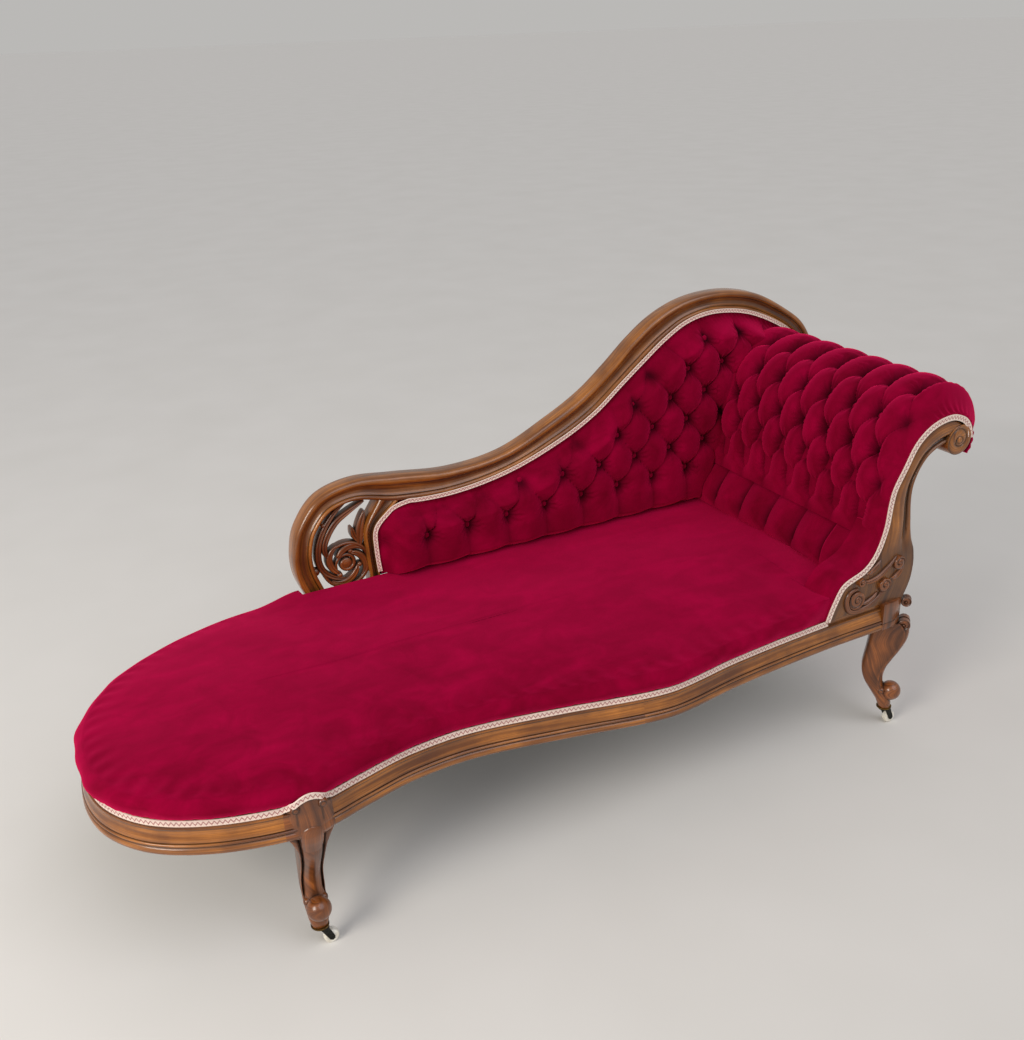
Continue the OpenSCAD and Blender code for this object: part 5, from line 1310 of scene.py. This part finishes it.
@dataclass
class Lumbar:
    """The fluted border under the head end's buttons: five channels and a plain corner."""

    paint: Paint
    flutes: int = 5
    front: tuple[Any, ...] = ((0.0, 0.0), (-0.10, 0.22), (-0.04, 0.46), (0.20, 0.70), (0.52, 0.90), (0.86, 0.97))
    rear: tuple[Any, ...] = ((0.94, 0.96), (0.98, 0.90), (1.02, 0.60), (1.02, 0.10), (0.98, 0.0))

    def build(self) -> None:
        """Makes the border: its front sinks where |sin(pi * flutes * w)|^0.5 is small."""
        shares = np.vstack([smooth(self.front, 8), self.rear])
        u = np.linspace(0, 1, 240)[:, None]
        part = (u - 0.16) / 0.84
        valley = np.where(part < 0, 0, 1 - np.abs(np.sin(np.pi * self.flutes * part)) ** 0.5)
        seam = hump(part, 0.012)
        facing = np.clip(1 - shares[:, 0], 0, 1) * np.clip(shares[:, 1] * 3, 0, 1)
        sink = 26 * np.maximum(valley, 0.8 * seam) * facing
        y = POST_Y + POST_T + WIDE_GAP + (BACK_Y - WIDE_GAP - POST_Y - POST_T) * u
        grid = stand(lumbar_point(shares) + sink[..., None] * [0.6, -0.4], y)
        # Painted shade down the flutes' valleys and at the seam
        mask = np.clip(0.95 * np.maximum(valley, seam) ** 1.4 * facing, 0, 0.95)
        shape = Shape("lumbar_velvet").add(grid, mask).add(self.corner())
        shape.make(self.paint.velvet, "lumbar_pad", Slot.VELVET)

    @staticmethod
    def corner() -> Array:
        """The plain corner that fills the front post's hollow from the seat to the head end's padding.

        Its height over the post's edge rises from 2 mm at the gimp as a root
        of the way in, the fourth at the seat and the square one above.

        Returns:
            The grid.
        """
        t, w = np.linspace(0.04, 5.0, 90), np.linspace(0, 1, 26)
        high = np.interp(t, [0, 1.0, 1.8, 2.4, 3.0, 3.8, 5.0], [22, 22, 19, 17, 20, 20, 9])[:, None]
        fast = (0.25 + 0.25 * ease((t - 1.6) / 1.2))[:, None]
        out = 2.0 + (high - 2.0) * np.sin(np.pi / 2 * np.clip(w * 1.25, 0, 1)) ** fast
        out += 0.8 * np.sin(t * 9)[:, None] * hump(w - 0.1, 0.15)
        return pillow(POST_INNER, t, out, POST_Y + 0.2 + (POST_T + 30) * w, 0.0)


@dataclass
class BackPad:
    """The deep-buttoned back, filling the crest down to the seat and the head end."""

    paint: Paint
    pitch: float = 102.0
    row: float = 64.0
    tuft: float = 28.6
    crown: float = 56.0
    roll: float = 46.0
    x0: float = share_x(0.421)
    z0: float = share_z(0.524)
    slope: float = 0.022
    # Its left end, beside the upright, and the plane of its tacked edge
    left: float = STILE_X + STILE_W + WIDE_GAP
    edge_y: float = BACK_Y + BACK_T * 0.05
    chain_u: tuple[float, ...] = (-2.0, -1.0, 0.0, 0.5, 1.5, 2.5, 3.5, 4.0, 5.0, 5.5, 6.0, 6.5, 7.5, 8.5, 9.5)
    chain_v: tuple[float, ...] = (0, 0, 0, 1, 1, 1, 1, 2, 2, 3, 4, 5, 5, 5, 5)
    # First and last button of each row, and its shift in pitches
    rows_of: tuple[tuple[int, int, float], ...] = (
        (0, 7, 0), (0, 7, 0.5), (4, 8, 0), (5, 7, 0.5), (6, 8, 0), (6, 7, 0.5))
    crest_knots: tuple[float, ...] = (7.0, 7.5, 8.3, 9.1, 10.0, 11.25, 12.85, 13.7, 14.0, 14.25, 14.65, 15.05, 15.4,
                                      15.75, 16.1, 16.8, 17.55, 18.45, 19.2)

    def __post_init__(self) -> None:
        """Sets out the pad's lower and upper edges."""
        low = [[x, SEAT_TOP + 1.8] for x in np.linspace(self.left, share_x(0.772), 7)]
        low.append([LUMBAR_X - LUMBAR_D * 0.15, SEAT_TOP + 3.6])
        low += [lumbar_point(np.array(s)) - [2.4, -0.6] for s in ((-0.10, 0.22), (-0.04, 0.46), (0.20, 0.70))]
        for t in (0.8, 1.6, 2.8, 4.2, 5.5, 6.3, 7.1, 7.7):
            low.append(HEAD.beside(t, head_crown(t) * (0.95 - 0.35 * ease((t - 1) / 3)))[0])
        self.low = Line(low)
        self.high = Line(CREST_INNER.beside(self.crest_knots, -1.8))

    def swell(self, x: Array, z: Array, d: Array) -> tuple[Array, Array]:
        """How far the padding stands before its edge: crown, less the tufting.

        Args:
            x: place along the couch.
            z: height.
            d: distance from the pad's edge.

        Returns:
            The swell in millimetres and the recess mask.
        """
        v, u = (z - self.z0 - self.slope * (x - self.x0)) / self.row, (x - self.x0) / self.pitch
        q, near = quilting(u, v, np.array(self.chain_u), np.array(self.chain_v, float))
        tuft = ease((d - 9) / (self.roll * 0.8))
        folds = 1.9 * puckers(u, v, near, self.pitch / self.row)
        height = self.crown * ease((d - 11.7) / self.roll)
        height = height - tuft * (self.tuft * (1 - q) * (0.36 + 0.64 * near ** 0.6) - folds)
        # Pulls at the tacked edge, 11 mm apart
        height = height + 0.9 * np.sin(2 * np.pi * (x + 0.6 * z) / 11) * hump(d - 6, 12)
        # Painted shade in the creases, round the buttons and along the tacked edge
        mask = np.clip((0.30 * (1 - q) ** 3 + 0.85 * near ** 1.6) * tuft + 0.5 * hump(d, 9), 0, 0.95)
        return height, mask

    def build(self) -> None:
        """Makes the pad and its buttons."""
        t = np.linspace(0, self.low.last, 520)
        v = np.concatenate([np.linspace(0, 0.9, 96)[:-1], np.linspace(0.9, 1, 30)])
        a, b = self.low.at(t), self.high.at(t)
        p = a[:, None] + (b - a)[:, None] * v[:, None]
        # The left end follows the upright's edge and fades into the straight rows
        bow = p[0, :, 0] - STILE_RIGHT.at(3 * v)[:, 0] - WIDE_GAP
        p[..., 0] -= bow * np.clip(1 - t, 0, 1)[:, None]
        length = np.linalg.norm(b - a, axis=1)[:, None]
        side = np.minimum(t, self.low.last - t)[:, None] * self.pitch
        begin = self.roll * (0.75 + 0.55 * np.clip(t - 7, 0, 1))[:, None]
        d = np.minimum(np.minimum(length * (1 - v), length * v + begin), side + 13)
        out, mask = self.swell(p[..., 0], p[..., 1], d)
        grid = np.concatenate([stand(p, self.edge_y - out), stand(np.stack([b, a], 1), BACK_Y + BACK_T * 0.28)], 1)
        pad = Shape("back_pad_velvet").add(grid, mask).make(self.paint.velvet, "back_pad", Slot.VELVET)
        self.buttons().make(self.paint.velvet, "back_buttons", Slot.BUTTON, 50)

    def buttons(self) -> Shape:
        """Returns the buttons that lie more than 31.5 mm from the pad's edges."""
        shape = Shape("back_buttons_velvet")
        edges = [line.at(np.linspace(0, line.last, 900)) for line in (self.high, self.low)]
        for r, (first, last, shift) in enumerate(self.rows_of):
            for c in range(first, last + 1):
                x = self.x0 + (c + shift) * self.pitch
                z = self.z0 + r * self.row + self.slope * (x - self.x0)
                near = [np.linalg.norm(edge - [x, z], axis=1).min() for edge in edges]
                if min(near) > 31.5:
                    out = self.swell(np.array(x), np.array(z), near[0])[0]
                    covered_button(shape, [x, self.edge_y - float(out), z], [0, -1, 0])
        return shape


@dataclass
class SeatPad:
    """The sprung seat's cushion: a rolled edge over the rails and a soft crown."""

    paint: Paint
    x_lo: float = share_x(0.17)
    x_hi: float = share_x(0.815)
    mid_y: float = DEPTH * -0.01

    @staticmethod
    def rim() -> tuple[Array, Array, Array]:
        """Returns the rim's places, ways out, and how far each is exposed."""
        t = SEAT.even(PAD_START, PAD_STOP, 7.0)
        shown = np.minimum(ease((t - PAD_START) / 0.4), ease((PAD_STOP - t) / 0.8))
        head_x, rear_y, front_y = LUMBAR_X + LUMBAR_D * 0.4, BACK_Y - GAP, POST_Y + POST_T + GAP
        rear = np.column_stack([np.linspace(CREST_OUTER.knots[1:3, 0].mean(), head_x, 70), np.full(70, rear_y)])
        side = np.column_stack([np.full(30, head_x), np.linspace(rear_y, front_y, 31)[1:]])
        ways = np.vstack([SEAT.side(t), np.tile([0, 1.0], (70, 1)), np.tile([1.0, 0], (30, 1)), [[0, -1.0]]])
        places = np.vstack([SEAT.beside(t, REBATE), rear, side, [[share_x(0.759) - 1.0, front_y]]])
        return places, ways, np.concatenate([shown, np.zeros(101)])

    def build(self) -> None:
        """Makes the cushion: rings up its rolled edge and in over its crown.

        The rise from the edge in is 1 - (1 - s)^2.4 where it shows, s running
        from the edge to the middle line. Pleats of the tacked edge fade upwards.
        """
        p, n, shown = self.rim()
        bottom, crown_z = RAIL_TOP + 1.8, RAIL_TOP + SEAT_RIM + SEAT_CROWN - 2
        run = 2 * np.pi * lengths(p)
        pulls = 1.1 * np.sin(run / 17) + 0.7 * np.sin(run / 41 + 1.3)
        soft = 2.2 * np.sin(run / 190) + 1.4 * np.sin(run / 83 + 0.7)
        rings, masks = [], []
        for up, bulge in smooth([[0, 0], [0.14, 0.18], [0.34, 0.30], [0.60, 0.33], [0.84, 0.20], [1.02, -0.06],
                                 [1.06, -0.20]], 4):
            out = (bulge * SEAT_RIM + pulls * hump(up, 0.35) + soft * np.sin(np.pi * min(up, 1))) * shown
            full = (SEAT_TOP - bottom) * up / 1.06
            z = bottom + full + ((SEAT_RIM - 1.2) * up - full) * shown
            rings.append(np.column_stack([p + n * out[:, None], z]))
            # Painted shade at the foot of the rolled edge, deeper at every pleat
            masks.append(0.55 * hump(up, 0.12) * (0.7 + 0.3 * np.sin(run / 17)))
        edge = p - n * (0.20 * SEAT_RIM * shown)[:, None]
        centre = np.column_stack([np.clip(edge[:, 0], self.x_lo, self.x_hi), np.full(len(edge), self.mid_y)])
        z0 = SEAT_TOP + (bottom + (SEAT_RIM - 1.2) * 1.06 - SEAT_TOP) * shown
        for s in np.concatenate([np.linspace(0.015, 0.3, 14), np.linspace(0.33, 0.985, 26)]):
            late = ease((s - 0.34) / 0.66)
            rise = late + (1 - (1 - s) ** 2.4 - late) * shown
            q = edge + (centre - edge) * s
            wave = 1.44 * np.sin(q[:, 0] / 57 + 1.0) * np.cos(q[:, 1] / 43) * ease(s / 0.2)
            fold = 1.2 * np.sin(run / 41 + 1.3) * hump(s, 0.10) * shown
            rings.append(np.column_stack([q, z0 + (crown_z - z0) * rise + wave + fold]))
            masks.append(np.zeros(len(p)))
        pad = Shape("seat_pad_velvet").add(np.stack(rings), np.stack(masks)).make(
            self.paint.velvet, "seat_pad", Slot.VELVET, 70)


@dataclass
class Gimps:
    """The braids that cover the tacked edges: seat, back and head end."""

    paint: Paint
    step: float = 2.2
    ripple: float = 0.35

    def lay(self, name: str, low: Array, high: Array, face: Array, node: str) -> None:
        """Makes a braid between two edges: two round edge cords and a flat web.

        Args:
            name: name of the piece.
            low: points of its lower edge.
            high: points of its upper edge.
            face: unit way that each place faces.
            node: node that it stands for.
        """
        w = np.linspace(0, 1, 15)
        cords = sum(np.clip(1 - ((w - at) / 0.1) ** 2, 0, 1) ** 0.5 for at in (0.09, 0.91))
        run = lengths((low + high) / 2)
        thread = self.ripple * np.sin(2 * np.pi * run / 4.5)[:, None] * (2 * w - 1) ** 2
        out = GIMP_T * (0.62 + 0.38 * cords) + thread
        front = low[:, None] + (high - low)[:, None] * w[:, None] + face[:, None] * out[..., None]
        uv = np.stack(np.broadcast_arrays(run[:, None] * MM, np.concatenate([w, [1, 0, 0]])), -1)
        shape = Shape(name).add(np.concatenate([front, np.stack([high, low], 1)], 1), uv=uv)
        shape.make(self.paint.braid, node, Slot.GIMP)

    def upright(self, name: str, line: Line, lo: float, hi: float, y: float, node: str) -> None:
        """Makes a braid on a plane that faces the front, between two offsets of a line.

        Args:
            name: name of the piece.
            line: edge that it follows, in X and Z.
            lo: first offset, in widths.
            hi: second offset.
            y: plane of its back.
            node: node that it stands for.
        """
        t = line.even(0, line.last, self.step)
        low, high = (stand(line.beside(t, share * GIMP_W), y) for share in (lo, hi))
        self.lay(name, low, high, np.tile([0, -1.0, 0], (len(t), 1)), node)

    def build(self) -> None:
        """Makes the three braids."""
        t = SEAT.even(PAD_START, PAD_STOP, self.step)
        p, n = SEAT.at(t), SEAT.side(t)
        # It climbs the pad's side in an arch over the carved knee
        lift = 25 * np.clip(1 - ((p[:, 0] + 656.5) / 48) ** 2, 0, 1) ** 1.5 * (p[:, 1] < 0)
        out = REBATE + GAP + 15.5 * ease(lift / 18)
        base = np.column_stack([p + n * out[:, None], REBATE_Z + GAP + lift])
        self.lay("seat_gimp_braid", base, base + [0, 0, GIMP_W], np.column_stack([n, np.zeros(len(t))]), "seat_gimp")
        stile, crest = STILE_RIGHT.at(np.linspace(0.35, 2.75, 9)), CREST_INNER.at(np.linspace(7.15, 20, 90))
        self.upright("back_gimp_braid", Line(np.vstack([stile, crest])), 0.38, -0.38, BACK_Y - GAP, "back_gimp")
        self.upright("head_gimp_braid", POST_INNER, -0.8, 0.2, POST_Y - GAP, "head_gimp")


@dataclass
class Covers:
    """Cloth on the outside: behind the back, behind the head end, and under the seat."""

    paint: Paint
    # Radius left free round each leg, and how far its middle lies behind the castor's axis
    clear: float = 46.5
    back_off: float = 0.3 * LEG_W

    @staticmethod
    def area(grid: Array) -> float:
        """Returns the area of a grid surface in square metres, the sum over its triangles of |a x b| / 2."""
        a, b, c, d = grid[:-1, :-1], grid[1:, :-1], grid[1:, 1:], grid[:-1, 1:]
        one = np.linalg.norm(np.cross(b - a, c - a), axis=-1) + np.linalg.norm(np.cross(c - a, d - a), axis=-1)
        return float(one.sum() / 2 * 1e-6)

    def lay(self, name: str, grid: Array, material: bpy.types.Material, node: str, rests: list[str],
            slot: Slot) -> None:
        """Makes one stretched sheet and logs its cut.

        Args:
            name: name of the piece.
            grid: its surface.
            material: its cloth.
            node: node that it stands for.
            rests: nodes that hold it, not used.
            slot: the record's material slot.
        """
        obj = Shape(name).add(grid, closed=False).make(material, node, slot)
        width, length = (float(v) for v in np.sort(np.ptp(grid.reshape(-1, 3), axis=0))[1:] * MM)
        area = self.area(grid)
        width = max(width, area / length)
        LOG.info("%s: cut %.3f by %.3f m, area %.4f m2", name, width, length, area)

    def build(self) -> None:
        """Makes the three covers."""
        self.lay("back_cover_velvet", self.behind(), self.paint.cover, "back_outside_cover", ["back_frame"], Slot.COVER)
        q = POST_OUTER.beside(np.linspace(0, 11.5, 150), 0.7)
        y = np.linspace(POST_Y + POST_T + 0.4, BACK_Y - WIDE_GAP, 60)
        self.lay("head_cover_velvet", stand(np.stack([q] * len(y), 1), y), self.paint.cover, "head_outside_cover",
                 ["head_front_post", "head_rear_post"], Slot.COVER)
        self.lay("bottom_lining", self.under(), self.paint.lining, "bottom_cloth", ["front_rail_foot", "back_rail"],
                 Slot.LINING)

    @staticmethod
    def behind() -> Array:
        """Returns the back's cover, from the lower rail and the posts up to the crest, hollowed by 2 mm."""
        upper = CREST_INNER.beside(np.linspace(7, CREST_INNER.last, 160), -0.4)
        corners = [[STILE_X + STILE_W + WIDE_GAP, STILE_Z + GAP], [share_x(0.876), STILE_Z + GAP]]
        knots = np.vstack([corners, POST_OUTER.at(np.linspace(1, 10, 40))])
        run, share, v = lengths(knots), np.linspace(0, 1, 160), np.linspace(0, 1, 40)
        lower = np.stack([np.interp(share * run[-1], run, knots[:, i]) for i in (0, 1)], 1)
        p = lower[:, None] + (upper - lower)[:, None] * v[:, None]
        # Its end follows the upright's edge and fades into the straight rows
        upright = STILE_RIGHT.at(np.linspace(0, 3, 80))
        bow = np.interp(p[0, :, 1], upright[:, 1], upright[:, 0]) + WIDE_GAP - p[0, :, 0]
        p[..., 0] += bow * (1 - share)[:, None] ** 3
        return stand(p, BACK_Y + BACK_T - 3.0 - 2.0 * np.sin(np.pi * v) * np.sin(np.pi * share)[:, None])[:, ::-1]

    def under(self) -> Array:
        """Returns the lining under the seat, drawn in round each leg and sagging 5 mm in the middle."""
        t = SEAT.even(0, SEAT.last, 9.0)
        p, n = SEAT.beside(t, -RAIL_T / 2), SEAT.side(t)
        for x, y, turn in CASTORS:
            a = math.radians(turn)
            d = p - (np.array([x, y]) - self.back_off * np.array([math.cos(a), math.sin(a)]))
            square, along = (d * d).sum(1), (d * n).sum(1)
            reach = along + np.sqrt(np.maximum(along**2 - square + self.clear**2, 0))
            p = np.where((square < self.clear**2)[:, None], p - n * reach[:, None], p)
        middle = np.column_stack([np.clip(p[:, 0], -700, 560), np.zeros(len(p))])
        grid = np.stack([np.column_stack([p + (middle - p) * s, np.full(len(p), 276.6 - 5 * ease(s))])
                         for s in np.linspace(0, 1, 22)])
        return np.concatenate([grid, grid[:, :1]], 1)


# ---------------------------------------------------------------- the rest


def dress_nodes(paint: Paint) -> None:
    """Gives the construction's own pieces that stay their finishes.

    Args:
        paint: the materials.
    """
    finishes = {
        "castor_plate": paint.brass, "castor_fork": paint.iron, "castor_axle": paint.iron, "castor_wheel": paint.china,
        "back_rail": paint.beech, "head_rail": paint.beech, "head_rear_post": paint.beech,
        "back_lower_rail": paint.beech, "cross_strainers": paint.sawn, "corner_blocks": paint.sawn,
        "head_stay_rail": paint.sawn, "head_roll_rail": paint.sawn, "head_lip_rail": paint.sawn,
        "back_webbing": paint.web, "head_webbing": paint.web, "seat_webbing": paint.web,
        "seat_hessian": paint.hessian, "seat_springs": paint.wire}
    for name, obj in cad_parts.items():
        for start, material in finishes.items():
            if name.startswith(start):
                obj.data.materials.clear()
                obj.data.materials.append(material)
                LOG.info("%s: %s", name, material.name)


@dataclass
class Studio:
    """Camera at the photograph's angle, a pale floor, and soft light at a plain level."""

    place: tuple[float, float, float] = (-1.0450, -1.8512, 1.5534)
    right: tuple[float, float, float] = (0.8809, -0.4723, -0.0287)
    down: tuple[float, float, float] = (-0.2175, -0.3504, -0.9110)
    forward: tuple[float, float, float] = (0.4203, 0.8088, -0.4114)
    lens: float = 38.77

    def camera(self) -> None:
        """Sets up the camera."""
        data = bpy.data.cameras.new("camera")
        data.sensor_fit, data.sensor_width, data.sensor_height, data.lens = "AUTO", 36.0, 36.0, self.lens
        obj = bpy.data.objects.new("camera", data)
        turn = Matrix([self.right, [-v for v in self.down], [-v for v in self.forward]]).transposed()
        obj.matrix_world = Matrix.Translation(self.place) @ turn.to_4x4()
        bpy.context.scene.collection.objects.link(obj)
        bpy.context.scene.camera = obj

    def lamp(self, name: str, place: tuple[float, float, float], size: float, power: float, colour: str) -> None:
        """Adds a soft lamp that faces the couch's middle: a square panel, or a far light if its size is 0.

        Args:
            name: its name.
            place: its place in metres.
            size: side of the panel in metres, or 0 for an even light of 50 degrees.
            power: its strength, in watts or in watts a square metre.
            colour: sRGB hex.
        """
        data = bpy.data.lights.new(name, "AREA" if size else "SUN")
        if size:
            data.size = size
        else:
            data.angle = math.radians(50.0)
        data.energy, data.color = power, linear(colour)[:3]
        obj = bpy.data.objects.new(name, data)
        obj.location = place
        obj.rotation_euler = (Vector((-0.2, 0, 0.35)) - Vector(place)).to_track_quat("-Z", "Y").to_euler()
        bpy.context.scene.collection.objects.link(obj)

    def floor(self) -> None:
        """Lays the pale floor, a large sheet painted matt."""
        mesh = bpy.data.meshes.new("floor")
        mesh.from_pydata([(-90, -90, 0), (90, -90, 0), (90, 90, 0), (-90, 90, 0)], [], [(0, 1, 2, 3)])
        obj = bpy.data.objects.new("floor", mesh)
        bpy.context.scene.collection.objects.link(obj)
        mat = bpy.data.materials.new("floor_painted_matt")
        mat.use_nodes = True
        net = Net(mat.node_tree)
        shade = net.mix(net.noise(net.add("TexCoord", out="Object"), 3.0, 2.0), "#d8d6d2", "#e0dedb")
        net.feed(mat.node_tree.nodes["Principled BSDF"],
                 {"Base Color": shade, "Roughness": 0.9, "Specular IOR Level": 0.1})
        mesh.materials.append(mat)

    def world(self) -> None:
        """Sets an even pale sky, a little brighter to the camera, in mirrors and through glass."""
        world = bpy.data.worlds.new("studio")
        world.use_nodes = True
        net = Net(world.node_tree)
        rays = world.node_tree.nodes.new("ShaderNodeLightPath").outputs
        seen = net.sums("MAXIMUM", rays["Is Camera Ray"], rays["Is Glossy Ray"])
        level = net.ramp(net.sums("MAXIMUM", seen, rays["Is Transmission Ray"]), 0.0, 1.0, 0.50, 0.53)
        net.feed(world.node_tree.nodes["Background"], {0: "#f7f5f2", 1: level})
        bpy.context.scene.world = world

    def build(self) -> None:
        """Sets up camera, floor, world and lamps."""
        self.camera()
        self.floor()
        self.world()
        self.lamp("key", (-3.9, -1.54, 2.45), 1.8, 118.0, "#fff8ee")
        self.lamp("fill", (0.6, -2.4, 3.4), 0.0, 0.95, "#f6f7ff")
        bpy.context.scene.view_settings.view_transform = "Standard"


def main() -> None:
    """Builds the couch's looks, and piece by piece."""
    logging.basicConfig(level=logging.INFO, format="%(name)s: %(message)s")
    paint = Paint()
    Studio().build()
    dress_nodes(paint)
    ShowRails(paint).build()
    FrontLeg(paint, "front_leg_foot", CASTORS[0], (
        (241, 33, -50, 27, 18.6), (257, 37, -48, 32, 20), (268, 38, -46, 37, 20.5), (280.5, 36, -44, 46, 20.5))).build()
    FrontLeg(paint, "front_leg_head", CASTORS[1], (
        (241, 33, -50, 24, 15), (257, 34, -47, 24, 14), (270, 29, -45, 24, 12), (280.5, 20, -44, 24, 10)), True).build()
    BackLeg(paint, "rear_leg_foot", CASTORS[2], (19, 20)).build()
    BackLeg(paint, "rear_leg_head", CASTORS[3], (22, 23)).build()
    for kind in (BackFrame, PiercedScroll, FrontPost, SeatPad, Lumbar, HeadPad, BackPad, Gimps, Covers):
        kind(paint).build()


if __name__ == "__main__":
    main()
